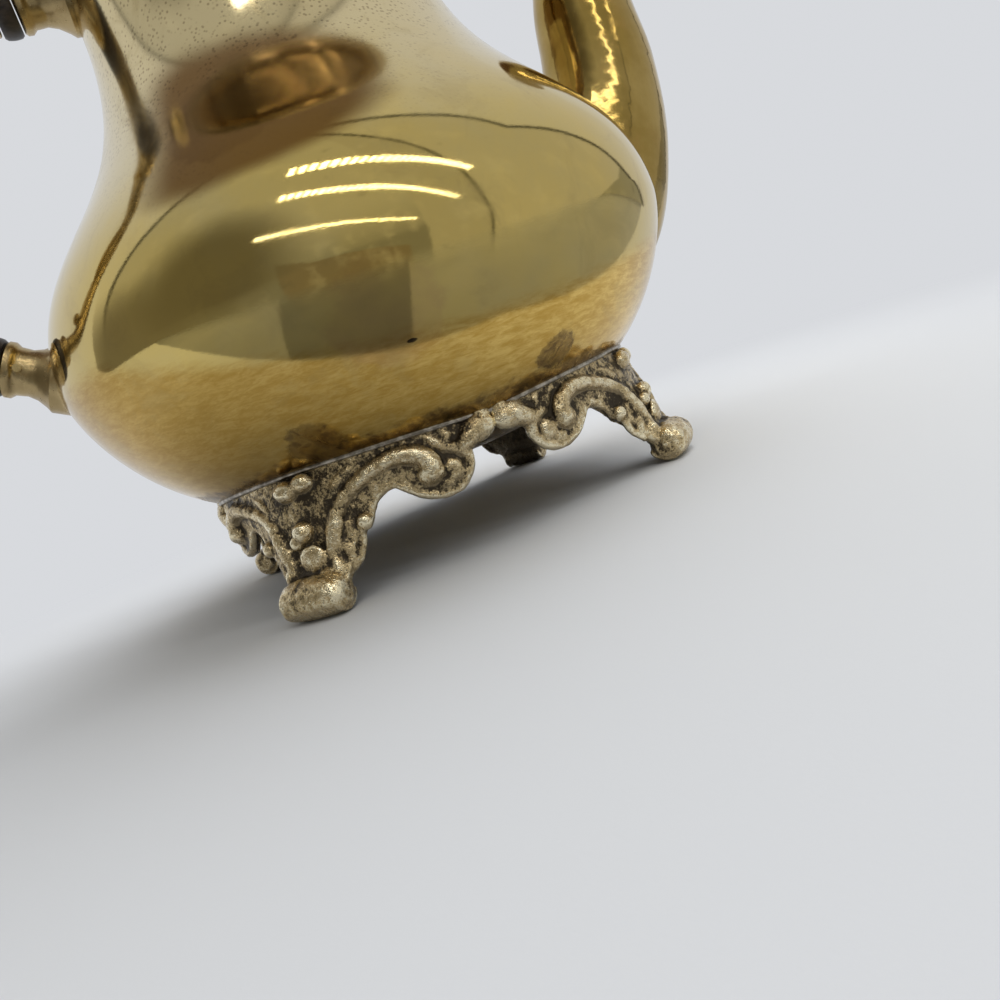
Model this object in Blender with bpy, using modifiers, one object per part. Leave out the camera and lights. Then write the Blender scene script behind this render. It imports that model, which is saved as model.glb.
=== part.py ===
"""Brass teapot on four cast scroll feet, with a hinged lid, a swelling spout and a scroll handle.

Units are metres. The origin is on the table under the body's axis, +Z is up and +X points along the
spout, so the handle and the lid's hinge lie towards -X. The body, lid, rims and knob are turned shapes
about the Z axis. The spout, handle and feet are seated against the body's own outline.
"""

from math import cos, hypot, pi, radians, sin

import bmesh
import bpy
from mathutils import Matrix, Vector

# Body
BELLY_RADIUS = 0.0750
BELLY_HEIGHT = 0.0591
BOTTOM_HEIGHT = 0.0170
NECK_RADIUS = 0.0401
NECK_HEIGHT = 0.1380
MOUTH_RADIUS = 0.0460
MOUTH_HEIGHT = 0.1600
BODY_WALL = 0.0012
LOWER_RADIAL_POWER = 3.33
LOWER_HEIGHT_POWER = 1.53
SHOULDER_BELLY_PULL = 0.0309
SHOULDER_NECK_PULL = 0.0473
FLARE_NECK_PULL = 0.0100
FLARE_MOUTH_PULL = 0.0110

# Fits between pieces
FIT_GAP = 0.0003
PIN_GAP = 0.0003
CUT_MARGIN = 0.0020

# Bottom disc and mouth rim
BASE_HOLE_RADIUS = 0.0260
BASE_DISC_LIP = 0.0030
BASE_DISC_THICKNESS = 0.0014
RIM_WIDTH = 0.0026
RIM_DEPTH = 0.0060
RIM_EDGE = 0.0010

# Strainer holes behind the spout
STRAINER_RISE = 0.0029
STRAINER_HOLE_RADIUS = 0.0018
STRAINER_PITCH = 0.0070
STRAINER_RINGS = 2

# Spout: offsets of its front and back edges from the belly's widest point, and its half width
SPOUT_WALL = 0.0018
SPOUT_STATIONS = (
    ((-0.0150, -0.0254), (-0.0250, 0.0156), 0.0185),
    ((0.0105, -0.0094), (-0.0110, 0.0276), 0.0180),
    ((0.0240, 0.0146), (-0.0045, 0.0386), 0.0168),
    ((0.0290, 0.0396), (-0.0015, 0.0506), 0.0150),
    ((0.0285, 0.0616), (0.0015, 0.0661), 0.0126),
    ((0.0340, 0.0831), (0.0110, 0.0881), 0.0103),
    ((0.0500, 0.0975), (0.0325, 0.1090), 0.0086),
)
SPOUT_STEPS = 2
SPOUT_SIDES = 20

# Handle: a round bar between two sockets. A place on it is a share of the way in from its farthest reach
# to the top ferrule, a share of the way down from its arch to its lower corner, and its thickness as a
# share of the bar's.
HANDLE_TOP_DROP = 0.0162
HANDLE_FOOT_RISE = 0.0069
HANDLE_FOOT_SLOPE = radians(30.0)
HANDLE_REACH = 0.1205
HANDLE_ARCH_RISE = 0.0110
HANDLE_BAR_RADIUS = 0.0042
HANDLE_CORNER_SHARE = 0.66
HANDLE_STEM_SHARE = 0.85
HANDLE_SWEEP = (
    (0.80, 0.08, 1.00),
    (0.56, 0.00, 1.00),
    (0.25, 0.05, 1.05),
    (0.04, 0.24, 1.10),
    (0.01, 0.50, 1.15),
    (0.05, 0.80, 1.15),
)
HANDLE_LEAF = ((0.48, 0.02, 0.70), (0.29, 0.17, 0.90), (0.16, 0.32, 0.85), (0.05, 0.47, 0.50))
HANDLE_SPUR = ((0.05, 0.82, 0.70), (0.12, 0.87, 0.60), (0.25, 0.88, 0.55))
SOCKET_LENGTH = 0.0100
SOCKET_RADIUS = 0.0062
SOCKET_FLARE = 0.0018
TENON_RADIUS = 0.0038
TENON_LENGTH = 0.0064
COLLAR_RADIUS = 0.0066
COLLAR_LENGTH = 0.0040
FERRULE_RADIUS = 0.0058
FERRULE_LENGTH = 0.0095
CROSS_PIN_RADIUS = 0.0009

# Lid
LID_INSET = 0.0008
LID_CROWN_HEIGHT = 0.0240
LID_FLANGE_THICKNESS = 0.0020
LID_FLANGE_WIDTH = 0.0084
LID_WALL = 0.0010
BEZEL_CLEARANCE = 0.0009
BEZEL_DEPTH = 0.0062
BEZEL_WALL = 0.0010
VENT_RADIUS = 0.0011
VENT_OFFSET = 0.0240

# Knob
KNOB_HEIGHT = 0.0300
KNOB_RADIUS = 0.0074
KNOB_PROFILE = (
    (1.00, 0.00),
    (0.96, 0.07),
    (0.50, 0.13),
    (0.42, 0.22),
    (0.78, 0.34),
    (1.00, 0.46),
    (0.86, 0.60),
    (0.44, 0.71),
    (0.46, 0.78),
    (0.50, 0.86),
    (0.30, 0.96),
)
STUD_RADIUS = 0.0020
STUD_LENGTH = 0.0085
WASHER_RADIUS = 0.0086
WASHER_THICKNESS = 0.0010
NUT_RADIUS = 0.0048
NUT_THICKNESS = 0.0030

# Lid hinge
HINGE_PIN_RADIUS = 0.0010
KNUCKLE_RADIUS = 0.0023
KNUCKLE_LENGTH = 0.0054
HINGE_OFFSET = 0.0020
HINGE_RISE = 0.0033
HINGE_PLATE_THICKNESS = 0.0014
LID_LEAF_THICKNESS = 0.0011
LID_LEAF_LENGTH = 0.0107
LID_LEAF_SPREAD = 0.0062
LEAF_NECK_SHARE = 0.45
LEAF_WIDEST_SHARE = 0.65
LEAF_POINT_SHARES = (0.85, 0.70)
PIN_HEAD_RADIUS = 0.0016
PIN_HEAD_THICKNESS = 0.0007

# Feet: places on a foot are (s, z), with s the distance round the ring from the foot's middle
FOOT_COUNT = 4
FOOT_RING_RADIUS = 0.0561
FOOT_TOP_HEIGHT = 0.0290
FOOT_PLATE_THICKNESS = 0.0030
FOOT_SEAT_THICKNESS = 0.0046
WING_TUCK = 0.0028
KNEE_LEAN = 0.16
KNEE_BULGE = 0.0012
KNEE_WIDTH = 0.0110
KNEE_DROP = 0.0060
FOOT_RIB_RADIUS = 0.0013
WING_TIP_HEIGHT = 0.0250
LOWER_EDGE = (
    (0.0000, 0.0105),
    (0.0078, 0.0108),
    (0.0116, 0.0130),
    (0.0147, 0.0166),
    (0.0178, 0.0184),
    (0.0208, 0.0188),
    (0.0238, 0.0160),
    (0.0268, 0.0140),
    (0.0301, 0.0131),
    (0.0334, 0.0138),
    (0.0360, 0.0160),
    (0.0376, 0.0200),
    (0.0402, 0.0214),
    (0.0426, 0.0228),
)
SCROLL_RIB = (
    (0.0042, 0.0095),
    (0.0052, 0.0150),
    (0.0070, 0.0191),
    (0.0105, 0.0219),
    (0.0148, 0.0238),
    (0.0200, 0.0250),
    (0.0250, 0.0250),
    (0.0287, 0.0234),
    (0.0302, 0.0204),
    (0.0276, 0.0178),
)
LEG_STATIONS = (
    (0.0006, 0.0170, 0.0100, 0.0017),
    (0.0012, 0.0138, 0.0116, 0.0018),
    (0.0018, 0.0108, 0.0094, 0.0019),
    (0.0027, 0.0082, 0.0080, 0.0020),
    (0.0043, 0.0058, 0.0074, 0.0022),
    (0.0062, 0.0044, 0.0072, 0.0024),
)
BEADS = (
    (0.0000, 0.0254, 0.0044, 0.0022),
    (0.0000, 0.0165, 0.0024, 0.0022),
    (0.0122, 0.0146, 0.0018, 0.0018),
    (0.0276, 0.0180, 0.0028, 0.0024),
    (0.0406, 0.0242, 0.0028, 0.0018),
)
TOE_RADIUS = 0.0043
TOE_HALF_LENGTH = 0.0077
TOE_ROUNDING = 0.0018
TOE_REACH = 0.0064
TOE_SINK = 0.0004
BEAD_SINK = 0.25
FOOT_NAMES = ("foot_spout_far", "foot_handle_far", "foot_handle_near", "foot_spout_near")

# Fineness of the faceted shapes
BODY_SIDES = 48
ROUND_SIDES = 20
SMALL_SIDES = 12
BEAD_SIDES = 8
HOLE_SIDES = 6
SHARP_ANGLE = radians(35.0)

# Sizes and places that several pieces share
RIM_RADIUS = MOUTH_RADIUS + RIM_WIDTH
LID_RADIUS = RIM_RADIUS - LID_INSET
HANDLE_TOP_HEIGHT = MOUTH_HEIGHT - HANDLE_TOP_DROP
HANDLE_FOOT_HEIGHT = BELLY_HEIGHT + HANDLE_FOOT_RISE
HINGE_AXIS = Vector((-RIM_RADIUS - HINGE_OFFSET, 0.0, MOUTH_HEIGHT + HINGE_RISE))
LID_SEAT = MOUTH_HEIGHT + FIT_GAP
LID_TOP = LID_SEAT + LID_CROWN_HEIGHT
FOOT_AZIMUTH = pi / FOOT_COUNT

# Colours and roughness
BRASS_POLISHED = ((0.56, 0.43, 0.20), 0.20)
BRASS_WARM = ((0.62, 0.43, 0.15), 0.18)
BRASS_CAST = ((0.25, 0.19, 0.10), 0.42)
BRASS_PLAIN = ((0.50, 0.38, 0.18), 0.30)
HEAT_BREAK = ((0.05, 0.04, 0.035), 0.45)


# Scene helpers


def clear_scene():
    for item in list(bpy.data.objects):
        bpy.data.objects.remove(item, do_unlink=True)


def new_collection(name):
    collection = bpy.data.collections.new(name)
    bpy.context.scene.collection.children.link(collection)
    return collection


def finish(name, look, metallic=1.0):
    """Give a Principled material of the piece's own name, colour and roughness."""
    colour, roughness = look
    material = bpy.data.materials.new(name)
    material.use_nodes = True
    shader = material.node_tree.nodes["Principled BSDF"]
    shader.inputs["Base Color"].default_value = (*colour, 1.0)
    shader.inputs["Roughness"].default_value = roughness
    shader.inputs["Metallic"].default_value = metallic
    material.diffuse_color = (*colour, 1.0)
    return material


def add_object(name, mesh, collection):
    item = bpy.data.objects.new(name, mesh)
    collection.objects.link(item)
    return item


def add_piece(name, mesh, look, metallic=1.0):
    """Add one named sub-part with its own material."""
    mesh.materials.clear()
    mesh.materials.append(finish(name, look, metallic))
    mesh.shade_smooth()
    mesh.set_sharp_from_angle(angle=SHARP_ANGLE)
    return add_object(name, mesh, PARTS)


def add_lid_piece(name, mesh, look):
    """Add a sub-part that turns with the lid about the empty on the hinge's axis."""
    item = add_piece(name, mesh, look)
    item.parent = LID_PIVOT
    item.matrix_parent_inverse = Matrix.Translation(-HINGE_AXIS)
    return item


def combine(item, other, operation):
    modifier = item.modifiers.new(other.name, "BOOLEAN")
    modifier.operation = operation
    modifier.solver = "EXACT"
    modifier.object = other


def baked_mesh(item):
    """Return the object's evaluated mesh in world space."""
    graph = bpy.context.evaluated_depsgraph_get()
    graph.update()
    mesh = bpy.data.meshes.new_from_object(item.evaluated_get(graph))
    mesh.transform(item.matrix_world)
    return mesh


def drop(items):
    for item in items:
        bpy.data.objects.remove(item, do_unlink=True)


# Outline helpers


def bezier(start, pull, push, end, count):
    """Points on a cubic curve, without its end point."""
    points = []
    for index in range(count):
        t = index / count
        u = 1.0 - t
        weights = (u**3, 3 * u * u * t, 3 * u * t * t, t**3)
        corners = (start, pull, push, end)
        points.append(tuple(sum(w * c[axis] for w, c in zip(weights, corners)) for axis in (0, 1)))
    return points


def smooth_path(points, steps):
    """Points along a smooth curve through the given points, in any number of dimensions."""
    ends = [tuple(2 * a - b for a, b in zip(points[0], points[1]))]
    tail = [tuple(2 * a - b for a, b in zip(points[-1], points[-2]))]
    guide = ends + [tuple(p) for p in points] + tail
    path = []
    for index in range(1, len(guide) - 2):
        for step in range(steps):
            t = step / steps
            path.append(
                tuple(
                    0.5
                    * (
                        2 * b
                        + (c - a) * t
                        + (2 * a - 5 * b + 4 * c - d) * t * t
                        + (3 * b - a - 3 * c + d) * t**3
                    )
                    for a, b, c, d in zip(*guide[index - 1 : index + 3])
                )
            )
    path.append(tuple(points[-1]))
    return path


def offset_outline(points, distance):
    """Move an outline that runs down the outer side by a distance along its outward normals."""
    moved = []
    for index, (radius, height) in enumerate(points):
        before = points[max(index - 1, 0)]
        after = points[min(index + 1, len(points) - 1)]
        along = (after[0] - before[0], after[1] - before[1])
        length = hypot(*along)
        moved.append((radius - along[1] / length * distance, height + along[0] / length * distance))
    return moved


def body_outline():
    """Outer outline of the body, from the mouth down to the hole in its bottom."""
    mouth = (MOUTH_RADIUS, MOUTH_HEIGHT)
    neck = (NECK_RADIUS, NECK_HEIGHT)
    belly = (BELLY_RADIUS, BELLY_HEIGHT)
    flare_pull = (MOUTH_RADIUS, MOUTH_HEIGHT - FLARE_MOUTH_PULL)
    flare_push = (NECK_RADIUS, NECK_HEIGHT + FLARE_NECK_PULL)
    shoulder_pull = (NECK_RADIUS, NECK_HEIGHT - SHOULDER_NECK_PULL)
    shoulder_push = (BELLY_RADIUS, BELLY_HEIGHT + SHOULDER_BELLY_PULL)
    outline = bezier(mouth, flare_pull, flare_push, neck, 4)
    outline += bezier(neck, shoulder_pull, shoulder_push, belly, 10)
    return outline + lower_outline(8)


def lower_outline(count):
    """Super-elliptic lower bowl, from the widest point to the bottom hole."""
    share = (BASE_HOLE_RADIUS / BELLY_RADIUS) ** (LOWER_RADIAL_POWER / 2)
    last = pi / 2 - share
    points = []
    for index in range(count + 1):
        angle = last * index / count
        radius = BELLY_RADIUS * cos(angle) ** (2 / LOWER_RADIAL_POWER)
        drop_share = sin(angle) ** (2 / LOWER_HEIGHT_POWER)
        points.append((radius, BELLY_HEIGHT - (BELLY_HEIGHT - BOTTOM_HEIGHT) * drop_share))
    return points


def radius_at(outline, height):
    """Radius of an outline at a height, between its points."""
    for upper, lower in zip(outline, outline[1:]):
        if lower[1] <= height <= upper[1]:
            share = (height - lower[1]) / (upper[1] - lower[1])
            return lower[0] + (upper[0] - lower[0]) * share
    return outline[0][0]


# Shape helpers


def turned(outline, sides, closed=True):
    """Turn an outline that runs down its outer side about the Z axis."""
    mesh = bpy.data.meshes.new("outline")
    edges = [(index, index + 1) for index in range(len(outline) - 1)]
    if closed:
        edges.append((len(outline) - 1, 0))
    mesh.from_pydata([(radius, 0.0, height) for radius, height in outline], edges, [])
    item = add_object("outline", mesh, CUTTERS)
    screw = item.modifiers.new("turn", "SCREW")
    screw.axis = "Z"
    screw.steps = sides
    screw.render_steps = sides
    screw.use_merge_vertices = True
    screw.merge_threshold = 0.00001
    result = baked_mesh(item)
    drop([item])
    return result


def cylinder(radius, length, sides):
    """Solid cylinder from z = 0 up to its length, its edges a quarter step round from the X axis."""
    mesh = bpy.data.meshes.new("cylinder")
    shape = bmesh.new()
    bmesh.ops.create_cone(
        shape, cap_ends=True, segments=sides, radius1=radius, radius2=radius, depth=length
    )
    bmesh.ops.rotate(shape, verts=shape.verts, matrix=Matrix.Rotation(pi / (2 * sides), 3, "Z"))
    bmesh.ops.translate(shape, verts=shape.verts, vec=(0.0, 0.0, length / 2))
    shape.to_mesh(mesh)
    shape.free()
    return mesh


def block(low, high):
    """Solid box between two corners."""
    mesh = bpy.data.meshes.new("block")
    shape = bmesh.new()
    bmesh.ops.create_cube(shape, size=1.0)
    size = Vector(high) - Vector(low)
    middle = (Vector(high) + Vector(low)) / 2
    bmesh.ops.scale(shape, verts=shape.verts, vec=size)
    bmesh.ops.translate(shape, verts=shape.verts, vec=middle)
    shape.to_mesh(mesh)
    shape.free()
    return mesh


def placed(mesh, location, direction):
    """Turn a mesh's +Z towards a direction and move its origin to a place."""
    turn = Vector(direction).to_track_quat("Z", "Y").to_matrix().to_4x4()
    mesh.transform(Matrix.Translation(Vector(location)) @ turn)
    return mesh


def loft(rings):
    """Closed solid through rings of equal numbers of points, capped at both ends."""
    mesh = bpy.data.meshes.new("loft")
    shape = bmesh.new()
    rows = [[shape.verts.new(point) for point in ring] for ring in rings]
    for row, other in zip(rows, rows[1:]):
        for index in range(len(row)):
            after = (index + 1) % len(row)
            shape.faces.new((row[index], row[after], other[after], other[index]))
    shape.faces.new(rows[0])
    shape.faces.new(rows[-1])
    bmesh.ops.recalc_face_normals(shape, faces=shape.faces)
    shape.to_mesh(mesh)
    shape.free()
    return mesh


def bar(points, radii, sides_resolution=2):
    """Round bar through points, with a radius at each, welded at its caps."""
    curve = bpy.data.curves.new("bar", "CURVE")
    curve.dimensions = "3D"
    curve.bevel_depth = 1.0
    curve.bevel_resolution = sides_resolution
    curve.use_fill_caps = True
    spline = curve.splines.new("POLY")
    spline.points.add(len(points) - 1)
    for point, place, radius in zip(spline.points, points, radii):
        point.co = (*place, 1.0)
        point.radius = radius
    item = add_object("bar", curve, CUTTERS)
    mesh = baked_mesh(item)
    drop([item])
    shape = bmesh.new()
    shape.from_mesh(mesh)
    bmesh.ops.remove_doubles(shape, verts=shape.verts, dist=0.00001)
    bmesh.ops.recalc_face_normals(shape, faces=shape.faces)
    shape.to_mesh(mesh)
    shape.free()
    return mesh


def united(meshes, cutters=()):
    """Join solids into one body, and take cutters away from it."""
    items = [add_object("solid", mesh, CUTTERS) for mesh in meshes]
    tools = [add_object("tool", mesh, CUTTERS) for mesh in cutters]
    for other in items[1:]:
        combine(items[0], other, "UNION")
    for tool in tools:
        combine(items[0], tool, "DIFFERENCE")
    result = baked_mesh(items[0])
    drop(items + tools)
    return result


# Body, bottom disc and mouth rim


def body_envelope():
    """Solid of the body's outside plus the fit gap, which seats every piece that lies on it."""
    outline = offset_outline(body_outline(), FIT_GAP)
    top = (outline[0][0], MOUTH_HEIGHT + CUT_MARGIN)
    bottom = outline[-1][1] - FIT_GAP
    return turned([(0.0, top[1]), top] + outline + [(0.0, bottom)], BODY_SIDES, closed=False)


def strainer_cutters():
    """Rods for a hexagonal field of strainer holes."""
    length = 2 * (BELLY_RADIUS - BASE_HOLE_RADIUS)
    rods = []
    for column in range(-STRAINER_RINGS, STRAINER_RINGS + 1):
        rows = 2 * STRAINER_RINGS + 1 - abs(column)
        for row in range(rows):
            height = BELLY_HEIGHT + STRAINER_RISE + (row - (rows - 1) / 2) * STRAINER_PITCH
            side = column * STRAINER_PITCH * cos(pi / 6)
            rod = cylinder(STRAINER_HOLE_RADIUS, length, HOLE_SIDES)
            rods.append(placed(rod, (BASE_HOLE_RADIUS, side, height), (1, 0, 0)))
    return rods


def make_body():
    outer = body_outline()
    inner = offset_outline(outer, -BODY_WALL)[2:-1:2]
    inner.insert(0, (MOUTH_RADIUS - BODY_WALL, MOUTH_HEIGHT))
    inner.append((BASE_HOLE_RADIUS, outer[-1][1] + BODY_WALL))
    shell = turned(outer + inner[::-1], BODY_SIDES)
    return add_piece("body_shell", united([shell], strainer_cutters()), BRASS_POLISHED)


def make_base_disc():
    """Stepped disc let into the bottom: its lip lies on the shell from inside."""
    edge = body_outline()[-1][1]
    seat = edge + BODY_WALL + FIT_GAP
    lip_radius = BASE_HOLE_RADIUS + BASE_DISC_LIP
    lip_seat = radius_height(offset_outline(body_outline(), -BODY_WALL), lip_radius) + FIT_GAP
    plug_radius = BASE_HOLE_RADIUS - FIT_GAP
    outline = [
        (0.0, seat + BASE_DISC_THICKNESS),
        (lip_radius, lip_seat + BASE_DISC_THICKNESS),
        (lip_radius, lip_seat),
        (plug_radius, seat),
        (plug_radius, edge),
        (0.0, edge),
    ]
    return add_piece("base_disc", turned(outline, BODY_SIDES, closed=False), BRASS_PLAIN)


def radius_height(outline, radius):
    """Height of the bowl's outline at a radius, below the widest point."""
    low = [point for point in outline if point[1] <= BELLY_HEIGHT]
    for upper, lower in zip(low, low[1:]):
        if lower[0] <= radius <= upper[0]:
            share = (radius - lower[0]) / (upper[0] - lower[0])
            return lower[1] + (upper[1] - lower[1]) * share
    return low[-1][1]


def make_mouth_rim():
    """Moulded ring round the outside of the mouth, flush with its top."""
    outline = body_outline()
    bottom = MOUTH_HEIGHT - RIM_DEPTH
    middle = MOUTH_HEIGHT - RIM_DEPTH / 2
    waist = RIM_RADIUS - RIM_EDGE
    ring = [
        (waist, MOUTH_HEIGHT),
        (RIM_RADIUS, MOUTH_HEIGHT - RIM_EDGE),
        (RIM_RADIUS, middle + RIM_EDGE),
        (waist, middle),
        (waist - RIM_EDGE, bottom),
    ]
    bore = [
        (radius_at(outline, height) + FIT_GAP, height) for height in (bottom, middle, MOUTH_HEIGHT)
    ]
    return add_piece("mouth_rim", turned(ring + bore, BODY_SIDES), BRASS_POLISHED)


# Spout


def spout_rings(wall):
    """Elliptic rings from inside the belly to the mouth, drawn in by a wall thickness."""
    stations = []
    for front, back, half_width in SPOUT_STATIONS:
        stations.append((*front, *back, half_width))
    rings = []
    for front_x, front_z, back_x, back_z, half_width in smooth_path(stations, SPOUT_STEPS):
        front = Vector((BELLY_RADIUS + front_x, 0.0, BELLY_HEIGHT + front_z))
        back = Vector((BELLY_RADIUS + back_x, 0.0, BELLY_HEIGHT + back_z))
        middle = (front + back) / 2
        reach = (front - back) / 2
        reach -= reach.normalized() * wall
        side = Vector((0.0, half_width - wall, 0.0))
        ring = []
        for index in range(SPOUT_SIDES):
            angle = 2 * pi * index / SPOUT_SIDES
            ring.append(middle + reach * cos(angle) + side * sin(angle))
        rings.append(ring)
    return rings


def lengthened(rings, margin):
    """Push the first and last rings outwards along the run of the loft."""
    longer = [list(ring) for ring in rings]
    for end, near in ((0, 1), (-1, -2)):
        start = sum(rings[end], Vector()) / len(rings[end])
        other = sum(rings[near], Vector()) / len(rings[near])
        push = (start - other).normalized() * margin
        longer[end] = [point + push for point in rings[end]]
    return longer


def make_spout():
    blank = loft(spout_rings(0.0))
    bore = loft(lengthened(spout_rings(SPOUT_WALL), CUT_MARGIN))
    return add_piece("spout", united([blank], [bore, body_envelope()]), BRASS_WARM)


# Handle, sockets, heat breaks and cross pins


def handle_mounts():
    """Place on the body's surface and outward direction of each handle socket."""
    outline = body_outline()
    upper = Vector((-radius_at(outline, HANDLE_TOP_HEIGHT), 0.0, HANDLE_TOP_HEIGHT))
    lower = Vector((-radius_at(outline, HANDLE_FOOT_HEIGHT), 0.0, HANDLE_FOOT_HEIGHT))
    slope = Vector((-cos(HANDLE_FOOT_SLOPE), 0.0, sin(HANDLE_FOOT_SLOPE)))
    return (("upper", upper, Vector((-1.0, 0.0, 0.0))), ("lower", lower, slope))


def cross_bore(place, radius):
    """Rod across the handle's plane, for a pin or its hole."""
    length = 2 * (SOCKET_RADIUS + SOCKET_FLARE)
    return placed(cylinder(radius, length, SMALL_SIDES), place - Vector((0, length / 2, 0)), (0, 1, 0))


def pin_places(base, direction):
    """Middle of the pin in the socket and of the pin in the handle's ferrule."""
    socket_pin = base + direction * (SOCKET_LENGTH - TENON_LENGTH / 2)
    collar_end = SOCKET_LENGTH + FIT_GAP + COLLAR_LENGTH
    handle_pin = base + direction * (collar_end + FIT_GAP + TENON_LENGTH / 2)
    return socket_pin, handle_pin


def make_socket(name, base, direction):
    """Cast cup on the body: a flared foot and a bore for the heat break's tenon."""
    outline = [
        (0.0, SOCKET_LENGTH),
        (SOCKET_RADIUS, SOCKET_LENGTH),
        (SOCKET_RADIUS - SOCKET_FLARE / 2, SOCKET_LENGTH / 2),
        (SOCKET_RADIUS + SOCKET_FLARE, 0.0),
        (SOCKET_RADIUS + SOCKET_FLARE, -2 * SOCKET_RADIUS),
        (0.0, -2 * SOCKET_RADIUS),
    ]
    cup = placed(turned(outline, ROUND_SIDES, closed=False), base, direction)
    bore = cylinder(TENON_RADIUS + FIT_GAP, TENON_LENGTH + FIT_GAP + CUT_MARGIN, SMALL_SIDES)
    start = base + direction * (SOCKET_LENGTH - TENON_LENGTH - FIT_GAP)
    hole = cross_bore(pin_places(base, direction)[0], CROSS_PIN_RADIUS + PIN_GAP)
    cutters = [placed(bore, start, direction), hole, body_envelope()]
    return add_piece("handle_socket_" + name, united([cup], cutters), BRASS_CAST)


def make_heat_break(name, base, direction):
    """Dark collar with a tenon on each side, which keeps the handle cool."""
    tenon = TENON_LENGTH - FIT_GAP
    outline = [
        (0.0, COLLAR_LENGTH + tenon),
        (TENON_RADIUS, COLLAR_LENGTH + tenon),
        (TENON_RADIUS, COLLAR_LENGTH),
        (COLLAR_RADIUS - RIM_EDGE / 2, COLLAR_LENGTH),
        (COLLAR_RADIUS, COLLAR_LENGTH / 2),
        (COLLAR_RADIUS - RIM_EDGE / 2, 0.0),
        (TENON_RADIUS, 0.0),
        (TENON_RADIUS, -tenon),
        (0.0, -tenon),
    ]
    start = base + direction * (SOCKET_LENGTH + FIT_GAP)
    solid = placed(turned(outline, SMALL_SIDES, closed=False), start, direction)
    holes = [cross_bore(place, CROSS_PIN_RADIUS + PIN_GAP) for place in pin_places(base, direction)]
    return add_piece("heat_break_" + name, united([solid], holes), HEAT_BREAK, metallic=0.0)


def make_cross_pins(name, base, direction):
    """Two pins: one through the socket and one through the ferrule."""
    for end, place in zip(("socket", "ferrule"), pin_places(base, direction)):
        radius = SOCKET_RADIUS if end == "socket" else FERRULE_RADIUS
        rod = cylinder(CROSS_PIN_RADIUS, 2 * radius, SMALL_SIDES)
        placed(rod, place - Vector((0, radius, 0)), (0, 1, 0))
        add_piece("pin_" + name + "_" + end, rod, BRASS_PLAIN)


def ferrule(base, direction):
    """Turned end of the handle, and the bore that takes the heat break's tenon."""
    start = base + direction * (SOCKET_LENGTH + 2 * FIT_GAP + COLLAR_LENGTH)
    outline = [
        (0.0, FERRULE_LENGTH),
        (HANDLE_BAR_RADIUS, FERRULE_LENGTH),
        (FERRULE_RADIUS, TENON_LENGTH),
        (FERRULE_RADIUS, 0.0),
        (0.0, 0.0),
    ]
    solid = placed(turned(outline, SMALL_SIDES, closed=False), start, direction)
    bore = cylinder(TENON_RADIUS + FIT_GAP, TENON_LENGTH + CUT_MARGIN, SMALL_SIDES)
    bore = placed(bore, start - direction * CUT_MARGIN, direction)
    hole = cross_bore(pin_places(base, direction)[1], CROSS_PIN_RADIUS + PIN_GAP)
    return solid, bore, hole, start + direction * (FERRULE_LENGTH - FIT_GAP)


def make_handle():
    """Scroll handle: top sweep, upright grip, sharp lower corner and straight lower stem."""
    mounts = handle_mounts()
    upper = ferrule(mounts[0][1], mounts[0][2])
    lower = ferrule(mounts[1][1], mounts[1][2])
    top = upper[3]
    foot = lower[3]
    corner = foot + mounts[1][2] * HANDLE_CORNER_SHARE * (foot.x + HANDLE_REACH)
    span = top.x + HANDLE_REACH
    arch = HANDLE_TOP_HEIGHT + HANDLE_ARCH_RISE

    def route(shares):
        places = []
        for inward, down, thickness in shares:
            height = arch + (corner.z - arch) * down
            places.append((span * inward - HANDLE_REACH, height, thickness))
        return places

    sweep = [(top.x, top.z, 1.0)] + route(HANDLE_SWEEP)
    sweep.append((corner.x, corner.z, 1.0))
    sweep.append((foot.x, foot.z, HANDLE_STEM_SHARE))
    bars = []
    for line, steps in ((sweep, 3), (route(HANDLE_LEAF), 2), (route(HANDLE_SPUR), 2)):
        path = smooth_path(line, steps)
        places = [(x, 0.0, z) for x, z, _ in path]
        bars.append(bar(places, [HANDLE_BAR_RADIUS * share for _, _, share in path]))
    solids = bars + [upper[0], lower[0]]
    cutters = [upper[1], upper[2], lower[1], lower[2]]
    return add_piece("handle", united(solids, cutters), BRASS_CAST)


# Lid and knob


def make_lid():
    """Domed lid with a flat flange that rests on the mouth rim."""
    inner_edge = LID_RADIUS - LID_FLANGE_WIDTH
    hole = STUD_RADIUS + FIT_GAP
    flange_top = LID_SEAT + LID_FLANGE_THICKNESS
    start = (WASHER_RADIUS, LID_TOP)
    end = (inner_edge, flange_top)
    half = inner_edge * 0.56
    dome = bezier(start, (half, LID_TOP), (half, flange_top + 2 * LID_WALL), end, 8) + [end]
    under = offset_outline(dome, -LID_WALL)[2:-1:2]
    under = [(hole, LID_TOP - LID_WALL), (WASHER_RADIUS, LID_TOP - LID_WALL)] + under
    under.append((inner_edge - LID_WALL, LID_SEAT))
    edge = [
        (LID_RADIUS - RIM_EDGE, flange_top),
        (LID_RADIUS, flange_top - RIM_EDGE),
        (LID_RADIUS - RIM_EDGE / 2, LID_SEAT),
    ]
    solid = turned([(hole, LID_TOP)] + dome + edge + under[::-1], BODY_SIDES)
    vent = cylinder(VENT_RADIUS, LID_CROWN_HEIGHT, HOLE_SIDES)
    vent = placed(vent, (VENT_OFFSET, 0.0, LID_SEAT), (0, 0, 1))
    return add_lid_piece("lid_dome", united([solid], [vent]), BRASS_POLISHED)


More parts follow.
